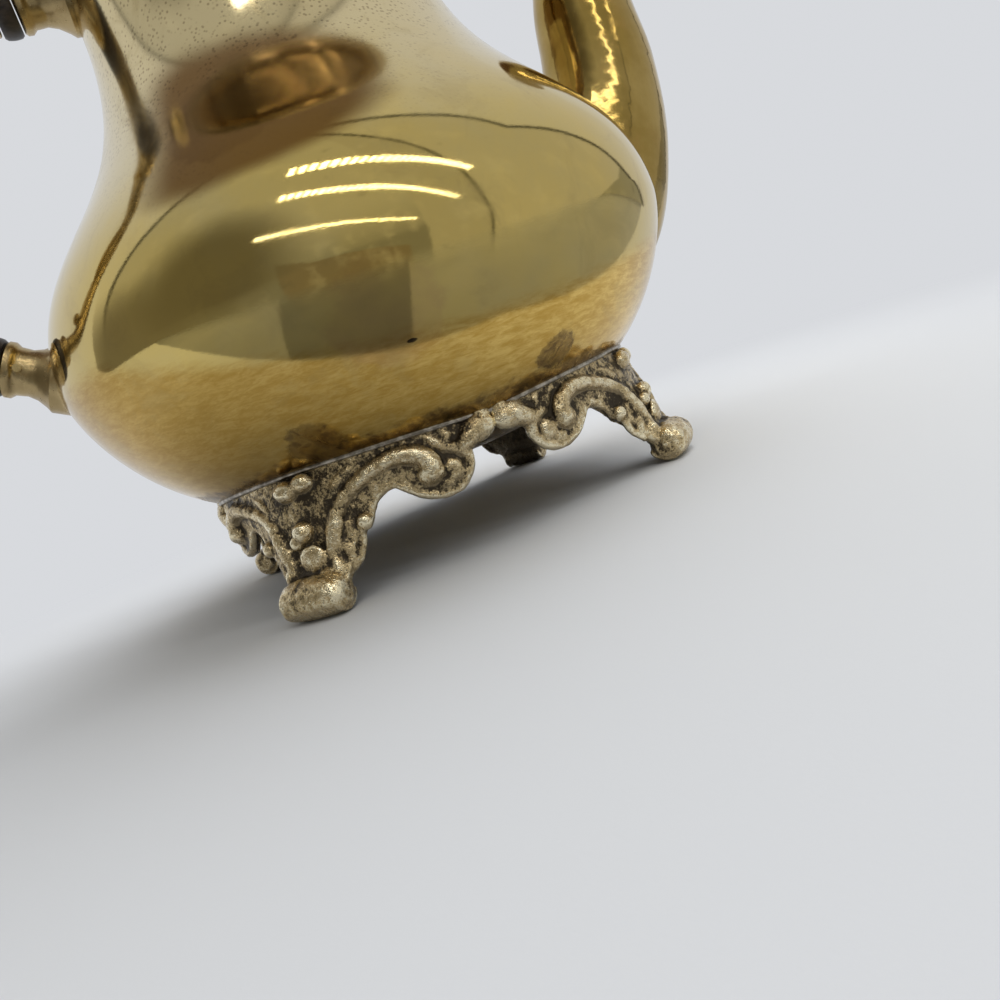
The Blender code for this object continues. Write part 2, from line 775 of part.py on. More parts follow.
def make_bezel():
    """Ring under the lid that drops into the mouth."""
    top = LID_SEAT - FIT_GAP
    bottom = top - BEZEL_DEPTH
    outer = radius_at(body_outline(), bottom) - BODY_WALL - BEZEL_CLEARANCE
    inner = outer - BEZEL_WALL
    outline = [(outer, top), (outer, bottom), (inner, bottom), (inner, top)]
    return add_lid_piece("lid_bezel", turned(outline, BODY_SIDES), BRASS_POLISHED)


def make_knob():
    """Turned knob with the stud that holds it, its washer and the nut inside the lid."""
    washer_bottom = LID_TOP + FIT_GAP
    base = washer_bottom + WASHER_THICKNESS + FIT_GAP
    sides = [(KNOB_RADIUS * wide, base + KNOB_HEIGHT * high) for wide, high in KNOB_PROFILE]
    stud_end = base - STUD_LENGTH
    outline = [(0.0, base + KNOB_HEIGHT)] + sides[::-1]
    outline += [(STUD_RADIUS, base), (STUD_RADIUS, stud_end), (0.0, stud_end)]
    add_lid_piece("knob", turned(outline, ROUND_SIDES, closed=False), BRASS_CAST)
    hole = STUD_RADIUS + FIT_GAP
    washer_top = washer_bottom + WASHER_THICKNESS
    ring = [
        (WASHER_RADIUS - RIM_EDGE / 2, washer_top),
        (WASHER_RADIUS, washer_bottom),
        (hole, washer_bottom),
        (hole, washer_top),
    ]
    add_lid_piece("knob_washer", turned(ring, ROUND_SIDES), BRASS_PLAIN)
    nut_top = LID_TOP - LID_WALL - FIT_GAP
    nut = placed(cylinder(NUT_RADIUS, NUT_THICKNESS, 6), (0, 0, nut_top - NUT_THICKNESS), (0, 0, 1))
    bore = cylinder(hole, NUT_THICKNESS + 2 * CUT_MARGIN, SMALL_SIDES)
    placed(bore, (0, 0, nut_top - NUT_THICKNESS - CUT_MARGIN), (0, 0, 1))
    add_lid_piece("knob_nut", united([nut], [bore]), BRASS_PLAIN)


# Lid hinge


def knuckle(start, length, radius):
    """Barrel along Y about the hinge's axis."""
    rod = cylinder(radius, length, SMALL_SIDES)
    return placed(rod, HINGE_AXIS + Vector((0.0, start, 0.0)), (0, 1, 0))


def hinge_half_length():
    return 1.5 * KNUCKLE_LENGTH + FIT_GAP


def make_hinge_bracket():
    """Plate on the rim with the hinge's two outer knuckles."""
    half = hinge_half_length()
    plate_front = HINGE_AXIS.x - HINGE_PLATE_THICKNESS / 2
    plate = block(
        (plate_front, -half, MOUTH_HEIGHT - RIM_DEPTH),
        (HINGE_AXIS.x + HINGE_OFFSET + RIM_EDGE, half, MOUTH_HEIGHT - RIM_EDGE),
    )
    web = block(
        (plate_front, -half, MOUTH_HEIGHT - 2 * RIM_EDGE),
        (plate_front + HINGE_PLATE_THICKNESS, half, HINGE_AXIS.z),
    )
    barrel = knuckle(-half, 2 * half, KNUCKLE_RADIUS)
    notch_half = KNUCKLE_LENGTH / 2 + FIT_GAP
    notch_floor = HINGE_AXIS.z - KNUCKLE_RADIUS - FIT_GAP
    notch = block(
        (HINGE_AXIS.x - 2 * KNUCKLE_RADIUS, -notch_half, notch_floor),
        (HINGE_AXIS.x + 2 * KNUCKLE_RADIUS, notch_half, HINGE_AXIS.z + 2 * KNUCKLE_RADIUS),
    )
    bore = knuckle(-half - CUT_MARGIN, 2 * (half + CUT_MARGIN), HINGE_PIN_RADIUS + PIN_GAP)
    ring = [
        (RIM_RADIUS + FIT_GAP, MOUTH_HEIGHT + CUT_MARGIN),
        (RIM_RADIUS + FIT_GAP, MOUTH_HEIGHT - RIM_DEPTH - CUT_MARGIN),
    ]
    ring = [(0.0, ring[0][1])] + ring + [(0.0, ring[1][1])]
    seat = turned(ring, BODY_SIDES, closed=False)
    solid = united([barrel, web, plate], [notch, bore, seat])
    return add_piece("hinge_bracket", solid, BRASS_PLAIN)


def make_hinge_leaf():
    """Leaf on the lid's flange with the hinge's middle knuckle."""
    half = KNUCKLE_LENGTH / 2
    bottom = LID_SEAT + LID_FLANGE_THICKNESS + FIT_GAP
    start = HINGE_AXIS.x
    neck = start + LID_LEAF_LENGTH * LEAF_NECK_SHARE
    widest = start + LID_LEAF_LENGTH * LEAF_WIDEST_SHARE
    point_x = start + LID_LEAF_LENGTH * LEAF_POINT_SHARES[0]
    point_y = LID_LEAF_SPREAD * LEAF_POINT_SHARES[1]
    near = [(start, -half), (neck, -half), (widest, -LID_LEAF_SPREAD), (point_x, -point_y)]
    far = [(x, -y) for x, y in near[::-1]]
    outline = near + [(start + LID_LEAF_LENGTH, 0.0)] + far
    rings = [[Vector((x, y, z)) for x, y in outline] for z in (bottom, bottom + LID_LEAF_THICKNESS)]
    barrel = knuckle(-half, 2 * half, KNUCKLE_RADIUS)
    bore = knuckle(-half - CUT_MARGIN, 2 * (half + CUT_MARGIN), HINGE_PIN_RADIUS + PIN_GAP)
    return add_lid_piece("hinge_leaf", united([barrel, loft(rings)], [bore]), BRASS_PLAIN)


def make_hinge_pin():
    """Pin through all three knuckles, with a peened head at each end."""
    half = hinge_half_length() + FIT_GAP
    outline = [
        (0.0, half + PIN_HEAD_THICKNESS),
        (PIN_HEAD_RADIUS, half + PIN_HEAD_THICKNESS),
        (PIN_HEAD_RADIUS, half),
        (HINGE_PIN_RADIUS, half),
        (HINGE_PIN_RADIUS, -half),
        (PIN_HEAD_RADIUS, -half),
        (PIN_HEAD_RADIUS, -half - PIN_HEAD_THICKNESS),
        (0.0, -half - PIN_HEAD_THICKNESS),
    ]
    pin = placed(turned(outline, SMALL_SIDES, closed=False), HINGE_AXIS, (0, 1, 0))
    return add_piece("hinge_pin", pin, BRASS_PLAIN)


# Feet


def foot_point(s, height, radius):
    angle = FOOT_AZIMUTH + s / FOOT_RING_RADIUS
    return Vector((radius * cos(angle), radius * sin(angle), height))


def foot_face(s, height):
    """Radius of the foot's front, which is tucked in at the wings and proud at the knee."""
    knee = 1.0 / (1.0 + (s / KNEE_WIDTH) ** 4)
    depth = FOOT_TOP_HEIGHT - height
    tuck = WING_TUCK * (s / wing_end()) ** 2
    return FOOT_RING_RADIUS - tuck + knee * (KNEE_LEAN * depth + KNEE_BULGE * min(1.0, depth / KNEE_DROP))


def wing_end():
    """Half of a foot's length round the ring, with a fit gap to its neighbour."""
    return FOOT_AZIMUTH * FOOT_RING_RADIUS - FIT_GAP / 2


def foot_plate():
    """Curved plate whose lower edge has the leg, the arch, the volute and the end lobe."""
    half = list(LOWER_EDGE) + [(wing_end(), WING_TIP_HEIGHT)]
    columns = [(-s, z) for s, z in half[:0:-1]] + half
    back = FOOT_RING_RADIUS - FOOT_SEAT_THICKNESS
    rings = []
    for s, low in columns:
        middle = (low + FOOT_TOP_HEIGHT) / 2
        front = [foot_point(s, height, foot_face(s, height)) for height in (FOOT_TOP_HEIGHT, middle, low)]
        rear = [foot_point(s, low, foot_face(s, low) - FOOT_PLATE_THICKNESS)]
        rings.append(front + rear + [foot_point(s, FOOT_TOP_HEIGHT, back)])
    return loft(rings)


def foot_leg():
    """Leg from the knee down to the toe, through rounded sections."""
    rings = []
    for reach, height, half_width, half_depth in LEG_STATIONS:
        radius = FOOT_RING_RADIUS + reach
        ring = []
        for index in range(SMALL_SIDES):
            angle = 2 * pi * index / SMALL_SIDES
            across = half_width * max(-1.0, min(1.0, 1.15 * cos(angle)))
            ring.append(foot_point(across, height, radius + half_depth * 1.1 * sin(angle)))
        rings.append(ring)
    return loft(rings)


def foot_toe():
    """Rolled toe across the end of the leg."""
    mesh = cylinder(TOE_RADIUS, 2 * TOE_HALF_LENGTH, SMALL_SIDES)
    shape = bmesh.new()
    shape.from_mesh(mesh)
    for vertex in shape.verts:
        vertex.co.z -= TOE_HALF_LENGTH
    rims = [edge for edge in shape.edges if abs(edge.verts[0].co.z - edge.verts[1].co.z) < FIT_GAP]
    bmesh.ops.bevel(shape, geom=rims, offset=TOE_ROUNDING, segments=2, affect="EDGES", profile=0.5)
    shape.to_mesh(mesh)
    shape.free()
    radius = FOOT_RING_RADIUS + TOE_REACH
    across = (-sin(FOOT_AZIMUTH), cos(FOOT_AZIMUTH), 0.0)
    return placed(mesh, foot_point(0.0, TOE_RADIUS - TOE_SINK, radius), across)


def foot_rib(sign):
    """Scroll rib from the leg, over the arch, into the curl of the volute."""
    places = [foot_point(sign * s, z, foot_face(s, z)) for s, z in SCROLL_RIB]
    return bar(places, [FOOT_RIB_RADIUS] * len(places), sides_resolution=0)


def foot_bead(s, height, half_width, half_height):
    """Flattened bead on the front of the foot."""
    mesh = bpy.data.meshes.new("bead")
    shape = bmesh.new()
    bmesh.ops.create_uvsphere(shape, u_segments=BEAD_SIDES, v_segments=BEAD_SIDES // 2, radius=1.0)
    bmesh.ops.scale(shape, verts=shape.verts, vec=(half_height, half_width, half_height))
    shape.to_mesh(mesh)
    shape.free()
    centre = foot_point(s, height, foot_face(s, height) - half_height * BEAD_SINK)
    turn = Matrix.Rotation(FOOT_AZIMUTH + s / FOOT_RING_RADIUS, 4, "Z")
    mesh.transform(Matrix.Translation(centre) @ turn)
    return mesh


def make_feet():
    """Four identical castings, each a shared mesh turned about the body's axis."""
    solids = [foot_plate(), foot_leg(), foot_toe(), foot_rib(1), foot_rib(-1)]
    for s, height, half_width, half_height in BEADS:
        for sign in (1, -1) if s else (1,):
            solids.append(foot_bead(sign * s, height, half_width, half_height))
    reach = FOOT_RING_RADIUS + 3 * TOE_RADIUS
    ground = block((-reach, -reach, -2 * TOE_RADIUS), (reach, reach, 0.0))
    mesh = united(solids, [body_envelope(), ground])
    for index, name in enumerate(FOOT_NAMES):
        item = add_piece(name, mesh.copy() if index else mesh, BRASS_CAST)
        item.rotation_euler.z = 2 * pi * index / FOOT_COUNT


clear_scene()
PARTS = new_collection("brass_teapot")
CUTTERS = new_collection("cutters")
LID_PIVOT = add_object("lid_pivot", None, PARTS)
LID_PIVOT.location = HINGE_AXIS
make_body()
make_base_disc()
make_mouth_rim()
make_spout()
make_handle()
for mount_name, mount_base, mount_direction in handle_mounts():
    make_socket(mount_name, mount_base, mount_direction)
    make_heat_break(mount_name, mount_base, mount_direction)
    make_cross_pins(mount_name, mount_base, mount_direction)
make_lid()
make_bezel()
make_knob()
make_hinge_bracket()
make_hinge_leaf()
make_hinge_pin()
make_feet()
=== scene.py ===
"""Brass teapot on four cast scroll feet, finished for the photo's view.

Units are metres, in the CAD frame: origin on the table under the body's axis, +Z up, +X to the spout.
"""

from math import cos, hypot, pi, radians, sin

import bpy
import numpy as np
from mathutils import Matrix, Vector
from mathutils import noise as lump_noise


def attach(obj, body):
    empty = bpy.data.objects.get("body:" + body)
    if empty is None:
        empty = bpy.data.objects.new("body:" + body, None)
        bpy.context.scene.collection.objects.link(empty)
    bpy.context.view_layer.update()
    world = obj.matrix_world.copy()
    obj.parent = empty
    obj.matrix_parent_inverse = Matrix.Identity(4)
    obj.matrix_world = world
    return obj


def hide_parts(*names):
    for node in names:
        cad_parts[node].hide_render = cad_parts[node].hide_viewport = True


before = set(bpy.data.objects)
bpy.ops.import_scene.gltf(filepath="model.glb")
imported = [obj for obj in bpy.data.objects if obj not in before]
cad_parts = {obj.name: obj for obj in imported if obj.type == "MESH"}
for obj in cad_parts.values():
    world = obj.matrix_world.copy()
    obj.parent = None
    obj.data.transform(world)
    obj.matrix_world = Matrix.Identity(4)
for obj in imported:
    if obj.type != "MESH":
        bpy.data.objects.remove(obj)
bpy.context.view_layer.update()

# Body, the same outline as in the CAD
BELLY_RADIUS = 0.0750
BELLY_HEIGHT = 0.0591
BOTTOM_HEIGHT = 0.0170
NECK_RADIUS = 0.0401
NECK_HEIGHT = 0.1380
MOUTH_RADIUS = 0.0460
MOUTH_HEIGHT = 0.1600
FLARE_MOUTH_PULL = 0.011
FLARE_NECK_PULL = 0.010
SHOULDER_NECK_PULL = 0.0473
SHOULDER_BELLY_PULL = 0.0309
LOWER_RADIAL_POWER = 3.33
LOWER_HEIGHT_POWER = 1.53
BODY_WALL = 0.0012
BASE_HOLE_RADIUS = 0.0260
FIT_GAP = 0.0003

# Camera
CAMERA_PLACE = (-0.05334, -0.19215, 0.03277)
CAMERA_RIGHT = (0.8640, -0.3630, -0.3489)
CAMERA_UP = (0.3834, 0.0253, 0.9232)
CAMERA_FORWARD = (0.3263, 0.9314, -0.1611)
CAMERA_LENS = 26.70
CAMERA_SENSOR = 36.0
CAMERA_NEAREST = 0.001


# Outline helpers


def circle(count):
    """Equal steps of angle round a full turn."""
    return [2 * pi * step / count for step in range(count)]


def bezier(start, pull, push, end, count):
    """Points on a cubic curve, without its end point."""
    points = []
    for index in range(count):
        t = index / count
        u = 1.0 - t
        weights = (u**3, 3 * u * u * t, 3 * u * t * t, t**3)
        corners = (start, pull, push, end)
        points.append(tuple(sum(w * c[axis] for w, c in zip(weights, corners)) for axis in (0, 1)))
    return points


def smooth_path(points, steps):
    """Points along a smooth curve through the given points, in any number of dimensions."""
    first = tuple(2 * a - b for a, b in zip(points[0], points[1]))
    last = tuple(2 * a - b for a, b in zip(points[-1], points[-2]))
    guide = np.array([first, *points, last], float)
    path = []
    for index in range(1, len(guide) - 2):
        a, b, c, d = guide[index - 1 : index + 3]
        for step in range(steps):
            t = step / steps
            start = 2 * b + (c - a) * t + (2 * a - 5 * b + 4 * c - d) * t * t
            path.append(0.5 * (start + (3 * b - a - 3 * c + d) * t**3))
    path.append(guide[-2])
    return path


def offset_outline(points, distance):
    """Move an outline that runs down the outer side by a distance along its outward normals."""
    moved = []
    for index, (radius, height) in enumerate(points):
        before = points[max(index - 1, 0)]
        after = points[min(index + 1, len(points) - 1)]
        along = (after[0] - before[0], after[1] - before[1])
        length = hypot(*along)
        moved.append((radius - along[1] / length * distance, height + along[0] / length * distance))
    return moved


def lower_outline(count):
    """Super-elliptic lower bowl, from the widest point to the bottom hole."""
    last = pi / 2 - (BASE_HOLE_RADIUS / BELLY_RADIUS) ** (LOWER_RADIAL_POWER / 2)
    points = []
    for index in range(count + 1):
        angle = last * index / count
        radius = BELLY_RADIUS * cos(angle) ** (2 / LOWER_RADIAL_POWER)
        drop = (BELLY_HEIGHT - BOTTOM_HEIGHT) * sin(angle) ** (2 / LOWER_HEIGHT_POWER)
        points.append((radius, BELLY_HEIGHT - drop))
    return points


def body_outline(fineness):
    """Outer outline of the body, from the mouth down to the hole in its bottom."""
    mouth = (MOUTH_RADIUS, MOUTH_HEIGHT)
    neck = (NECK_RADIUS, NECK_HEIGHT)
    belly = (BELLY_RADIUS, BELLY_HEIGHT)
    flare_pull = (mouth[0], mouth[1] - FLARE_MOUTH_PULL)
    flare_push = (neck[0], neck[1] + FLARE_NECK_PULL)
    pull = (neck[0], neck[1] - SHOULDER_NECK_PULL)
    push = (belly[0], belly[1] + SHOULDER_BELLY_PULL)
    flare = bezier(mouth, flare_pull, flare_push, neck, 4 * fineness)
    return flare + bezier(neck, pull, push, belly, 12 * fineness) + lower_outline(8 * fineness)


OUTLINE = np.array(body_outline(fineness=16))
ALONG = np.gradient(OUTLINE, axis=0)
NORMALS = np.stack((-ALONG[:, 1], ALONG[:, 0]), 1)
NORMALS /= np.linalg.norm(NORMALS, axis=1)[:, None]


def radius_at(height):
    """Radius of the body's outside at a height."""
    return float(np.interp(height, OUTLINE[::-1, 1], OUTLINE[::-1, 0]))


# Mesh helpers


class Solids:
    """Vertices and faces of several closed shapes, gathered into one mesh."""

    def __init__(self):
        self.points = []
        self.faces = []

    def add(self, points, faces):
        start = len(self.points)
        self.points.extend(tuple(point) for point in points)
        self.faces.extend(tuple(start + index for index in face) for face in faces)

    def mesh(self, name):
        mesh = bpy.data.meshes.new(name)
        mesh.from_pydata(self.points, [], self.faces)
        return mesh


def linked(name, data):
    """New object in the scene that holds some data."""
    item = bpy.data.objects.new(name, data)
    bpy.context.scene.collection.objects.link(item)
    return item


def ring_faces(rows, columns, capped=True):
    """Quads between rings of equal numbers of points, with a cap at each end."""
    faces = []
    for row in range(rows - 1):
        low = row * columns
        for column in range(columns):
            after = (column + 1) % columns
            faces.append((low + column, low + after, low + columns + after, low + columns + column))
    if capped:
        faces.append(tuple(range(columns - 1, -1, -1)))
        faces.append(tuple((rows - 1) * columns + column for column in range(columns)))
    return faces


def loft(solids, rings, capped=True):
    solids.add([point for ring in rings for point in ring], ring_faces(len(rings), len(rings[0]), capped))


# Steps of a rounded end, as shares of the radius: how far out, and how wide
ROUND_END = [(0.38, 0.92), (0.7, 0.71), (0.92, 0.38)]
ON_AXIS = 1e-6


def tube(solids, path, radii, sides):
    """Round bar along a path with rounded ends."""
    places = [Vector(point) for point in path]
    side = None
    rings = []
    for index, place in enumerate(places):
        before = places[max(index - 1, 0)]
        after = places[min(index + 1, len(places) - 1)]
        along = (after - before).normalized()
        if side is None:
            side = along.orthogonal().normalized()
        side = (side - along * side.dot(along)).normalized()
        other = along.cross(side)
        ends = [(0.0, 1.0)]
        if index == 0:
            ends = [(-shift, share) for shift, share in ROUND_END[::-1]] + ends
        if index == len(places) - 1:
            ends = ends + ROUND_END
        for shift, share in ends:
            radius = radii[index] * share
            centre = place + along * radii[index] * shift
            rings.append([centre + (side * cos(t) + other * sin(t)) * radius for t in circle(sides)])
    loft(solids, rings)


def blob(solids, centre, axes, sizes, sides=20):
    """Ellipsoid with three axes and their half sizes."""
    rings = []
    for row in range(1, sides // 2):
        lift = pi * row / (sides // 2) - pi / 2
        ring = []
        for turn in circle(sides):
            shares = (cos(lift) * cos(turn), cos(lift) * sin(turn), sin(lift))
            ring.append(sum((a * s * k for a, s, k in zip(axes, sizes, shares)), Vector(centre)))
        rings.append(ring)
    loft(solids, rings)


def turned(outline, sides):
    """Rings of a closed outline turned about the Z axis, or of an open one that ends on the axis."""
    solids = Solids()
    points = [point for point in outline if point[0] > ON_AXIS]
    rings = [[(radius * cos(t), radius * sin(t), height) for t in circle(sides)] for radius, height in points]
    open_ends = len(points) < len(outline)
    if not open_ends:
        rings.append(rings[0])
    loft(solids, rings, capped=False)
    if open_ends:
        for pole, ring, flip in ((outline[0], 0, 1), (outline[-1], len(points) - 1, -1)):
            if pole[0] > ON_AXIS:
                continue
            solids.points.append((0.0, 0.0, pole[1]))
            centre = len(solids.points) - 1
            for step in range(sides):
                edge = (ring * sides + step, ring * sides + (step + 1) % sides)
                solids.faces.append((centre, *edge[::flip]))
    return solids


def evaluated(mesh, set_up):
    """Mesh after the modifiers that set_up gives to an object that holds it."""
    item = linked("work", mesh)
    set_up(item)
    graph = bpy.context.evaluated_depsgraph_get()
    graph.update()
    result = bpy.data.meshes.new_from_object(item.evaluated_get(graph))
    bpy.data.objects.remove(item, do_unlink=True)
    return result


def bored(solids, rods, name):
    """Mesh of a closed shape with rods cut out of it."""
    tool = linked("rods", rods.mesh("rods"))

    def set_up(item):
        weld = item.modifiers.new("weld", "WELD")
        weld.merge_threshold = 0.000001
        cut = item.modifiers.new("holes", "BOOLEAN")
        cut.operation = "DIFFERENCE"
        cut.solver = "EXACT"
        cut.object = tool

    mesh = evaluated(solids.mesh(name), set_up)
    bpy.data.objects.remove(tool, do_unlink=True)
    return mesh


def cast_together(solids, name, voxel, rounds):
    """One skin over overlapping solids, with softened creases, as a casting has."""

    def set_up(item):
        remesh = item.modifiers.new("skin", "REMESH")
        remesh.mode = "VOXEL"
        remesh.voxel_size = voxel
        smooth = item.modifiers.new("soften", "SMOOTH")
        smooth.iterations = rounds
        smooth.factor = 0.5

    return evaluated(solids.mesh(name), set_up)


def vertex_rows(mesh, kind="co"):
    """One row for each vertex: its place, or its normal."""
    flat = np.zeros(len(mesh.vertices) * 3)
    mesh.vertices.foreach_get(kind, flat)
    return flat.reshape(-1, 3)


BATCH = 4096
SEAT_LIFT = 0.00002


def body_distance(places):
    """Distance outside the body's surface, and the nearest outline index, for each place."""
    flat = np.stack((np.hypot(places[:, 0], places[:, 1]), places[:, 2]), 1)
    nearest = np.zeros(len(flat), int)
    for start in range(0, len(flat), BATCH):
        part = flat[start : start + BATCH]
        gaps = ((part[:, None, :] - OUTLINE[None, :, :]) ** 2).sum(2)
        nearest[start : start + BATCH] = gaps.argmin(1)
    return ((flat - OUTLINE[nearest]) * NORMALS[nearest]).sum(1), nearest


def meeting(line):
    """Where a line of places that runs out of the body first crosses its surface."""
    line = np.array(line)
    distance, _ = body_distance(line)
    crossing = int(np.argmax(distance > 0))
    share = distance[crossing] / (distance[crossing] - distance[crossing - 1])
    return Vector(line[crossing] + (line[crossing - 1] - line[crossing]) * share)


def seated(mesh):
    """Remove what lies inside the body, lay the cut edge on its surface and keep the relief."""
    places = vertex_rows(mesh)
    distance, nearest = body_distance(places)
    inside = distance < 0
    keep = [face for face in mesh.polygons if not all(inside[index] for index in face.vertices)]
    used = sorted({index for face in keep for index in face.vertices})
    order = {index: place for place, index in enumerate(used)}
    result = bpy.data.meshes.new(mesh.name)
    moved = places[used].copy()
    sunk = inside[used]
    normal = NORMALS[nearest[used]]
    depth = (SEAT_LIFT - distance[used])[:, None]
    around = moved[:, :2] / np.hypot(moved[:, 0], moved[:, 1])[:, None]
    shift = np.concatenate((around * normal[:, :1], normal[:, 1:]), 1) * depth
    moved[sunk] += shift[sunk]
    result.from_pydata(moved.tolist(), [], [tuple(order[index] for index in face.vertices) for face in keep])
    if "relief" in mesh.attributes:
        values = np.zeros(len(mesh.vertices))
        mesh.attributes["relief"].data.foreach_get("value", values)
        store_relief(result, values[used])
    return result


def store_relief(mesh, values):
    mesh.attributes.new("relief", "FLOAT", "POINT").data.foreach_set("value", values)


def add_relief(mesh, rounds, reach):
    """Store how far each point stands out of its surroundings, from 0 in a recess to 1 on a ridge."""
    places = vertex_rows(mesh)
    edges = np.zeros(len(mesh.edges) * 2, int)
    mesh.edges.foreach_get("vertices", edges)
    edges = edges.reshape(-1, 2)
    count = len(places)
    degree = np.bincount(edges.ravel(), minlength=count).astype(float)
    soft = places.copy()
    for _ in range(rounds):
        total = np.zeros_like(soft)
        for axis in range(3):
            total[:, axis] = np.bincount(edges[:, 0], soft[edges[:, 1], axis], count)
            total[:, axis] += np.bincount(edges[:, 1], soft[edges[:, 0], axis], count)
        soft = total / np.maximum(degree, 1)[:, None]
    stand = ((places - soft) * vertex_rows(mesh, "normal")).sum(1)
    store_relief(mesh, np.clip(0.5 + stand / (2 * reach), 0, 1))


def add_piece(name, mesh, material, body, slot, replaced=True, sharp=40.0):
    """Add one piece that rides on a body with its material, and hide the CAD node that it mostly stands for
    when it replaces it.
    """
    mesh.name = name
    mesh.materials.clear()
    mesh.materials.append(material)
    mesh.shade_smooth()
    mesh.set_sharp_from_angle(angle=radians(sharp))
    item = linked(name, mesh)
    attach(item, body)
    if replaced:
        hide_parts(slot)
    return item


def towards(location, direction):
    """Matrix that turns +Z to a direction and moves the origin to a place."""
    turn = Vector(direction).to_track_quat("Z", "Y").to_matrix().to_4x4()
    return Matrix.Translation(Vector(location)) @ turn


# Material helpers


PATCH_INNER = 0.84
PATCH_OUTER = 1.06


class Net:
    """Adds nodes to the node tree of a material or world. Its methods give the new node's output."""

    def __init__(self, holder):
        holder.use_nodes = True
        self.holder = holder
        self.tree = holder.node_tree

    def wire(self, target, source):
        if isinstance(source, bpy.types.NodeSocket):
            self.tree.links.new(source, target)
        else:
            target.default_value = source

    def node(self, kind, inputs, out=0, **settings):
        node = self.tree.nodes.new("ShaderNode" + kind)
        for name, value in settings.items():
            setattr(node, name, value)
        for socket, value in inputs.items():
            self.wire(node.inputs[socket], value)
        return node.outputs[out]

    def math(self, kind, first, second, clamp=False):
        return self.node("Math", {0: first, 1: second}, operation=kind, use_clamp=clamp)

    def add(self, first, second):
        return self.math("ADD", first, second)

    def less(self, first, second, clamp=False):
        return self.math("SUBTRACT", first, second, clamp)

    def times(self, first, second):
        return self.math("MULTIPLY", first, second)

    def most(self, first, second):
        return self.math("MAXIMUM", first, second)

    def rest(self, share):
        """What a share leaves of 1."""
        return self.less(1.0, share)

    def swing(self, value, amount):
        """A value about 0.5, turned into one about 0."""
        return self.times(self.less(value, 0.5), amount)

    def span(self, value, low, high):
        """Smooth step from 0 at low to 1 at high."""
        inputs = {"Value": value, "From Min": low, "From Max": high}
        return self.node("MapRange", inputs, "Result", interpolation_type="SMOOTHSTEP")

    def vector(self, kind, first, second=(0.0, 0.0, 0.0)):
        return self.node("VectorMath", {0: first, 1: second}, "Vector", operation=kind)

    def stretch(self, place, scales):
        return self.vector("MULTIPLY", place, scales)

    def dot(self, first, second):
        return self.node("VectorMath", {0: first, 1: second}, "Value", operation="DOT_PRODUCT")

    def distance(self, place, centre):
        return self.node("VectorMath", {0: place, 1: centre}, "Value", operation="DISTANCE")

    def axis(self, place, number):
        return self.node("SeparateXYZ", {0: place}, number)

    def above(self, direction, axis, level=0.0, edge=0.008):
        """1 where the direction's share along an axis is past a level, 0 before it."""
        return self.span(self.dot(direction, axis), level - edge, level + edge)

    def noise(self, vector, scale, detail=4.0, rough=0.55, twist=0.0):
        inputs = {"Vector": vector, "Scale": scale, "Detail": detail, "Roughness": rough, "Distortion": twist}
        return self.node("TexNoise", inputs, "Fac")

    def cells(self, vector, scale):
        return self.node("TexVoronoi", {"Vector": vector, "Scale": scale}, "Distance")

    def mixed(self, share, first, second):
        inputs = {"Factor": share}
        for socket, value in ((6, first), (7, second)):
            inputs[socket] = (*value, 1.0) if isinstance(value, tuple) else value
        return self.node("Mix", inputs, 2, data_type="RGBA")

    def tinted(self, colour, tint, share, strength):
        """Colour mixed with a tint by a share of at most the strength."""
        return self.mixed(self.times(share, strength), colour, tint)

    def bump(self, height, distance, strength, before=None):
        inputs = {"Height": height, "Distance": distance, "Strength": strength}
        if before is not None:
            inputs["Normal"] = before
        return self.node("Bump", inputs, "Normal")

    def patch(self, place, centre, size, edge):
        """Soft round patch: 1 at its centre, 0 beyond its edge, with a ragged outline."""
        ragged = self.add(self.distance(place, centre), edge)
        return self.rest(self.span(ragged, size * PATCH_INNER, size * PATCH_OUTER))

    def finish(self, colour, roughness, normal):
        """Wire the main shader and give the finished material."""
        shader = self.tree.nodes["Principled BSDF"]
        for name, value in (("Base Color", colour), ("Roughness", roughness), ("Normal", normal)):
            self.wire(shader.inputs[name], value)
        return self.holder


def new_material(name, metallic=1.0):
    """Net of a new material, and the place on the object."""
    net = Net(bpy.data.materials.new(name))
    net.tree.nodes["Principled BSDF"].inputs["Metallic"].default_value = metallic
    return net, net.node("TexCoord", {}, "Object")


# Materials: colours are linear, places and sizes are metres


GOLD = ((0.66, 0.50, 0.165), (0.60, 0.475, 0.19))
HAZY_GOLD = (0.74, 0.62, 0.36)
HAZE_HEIGHTS = (0.070, 0.112)
TARNISH = ((0.54, 0.335, 0.070), (0.76, 0.53, 0.160))
TARNISH_THREAD = (0.48, 0.28, 0.055)
# Painted shade, mixed into the low tarnish band towards −X
TARNISH_PAINTED_SHADE = (0.34, 0.20, 0.045)
TARNISH_SLOPE = (0.045, -0.4276, 1.0)
TARNISH_RISE = 0.0143
TARNISH_LEVELS = (0.0700, 0.0750)
STAINS = (((-0.0334, -0.0505, 0.0320), 0.0062), ((0.0153, -0.0590, 0.0325), 0.0048))
STAIN_BAND = (0.0290, 0.0306)
STAIN_COLOUR = (0.12, 0.070, 0.028)
# Brown patch on the belly towards −Y: partly tarnish, partly a painted dark reflection
BROWN_TARNISH_AND_REFLECTION_PATCH = ((-0.0170, -0.0700, 0.0480), 0.0105)
BROWN_TARNISH_AND_REFLECTION = (0.46, 0.27, 0.13)
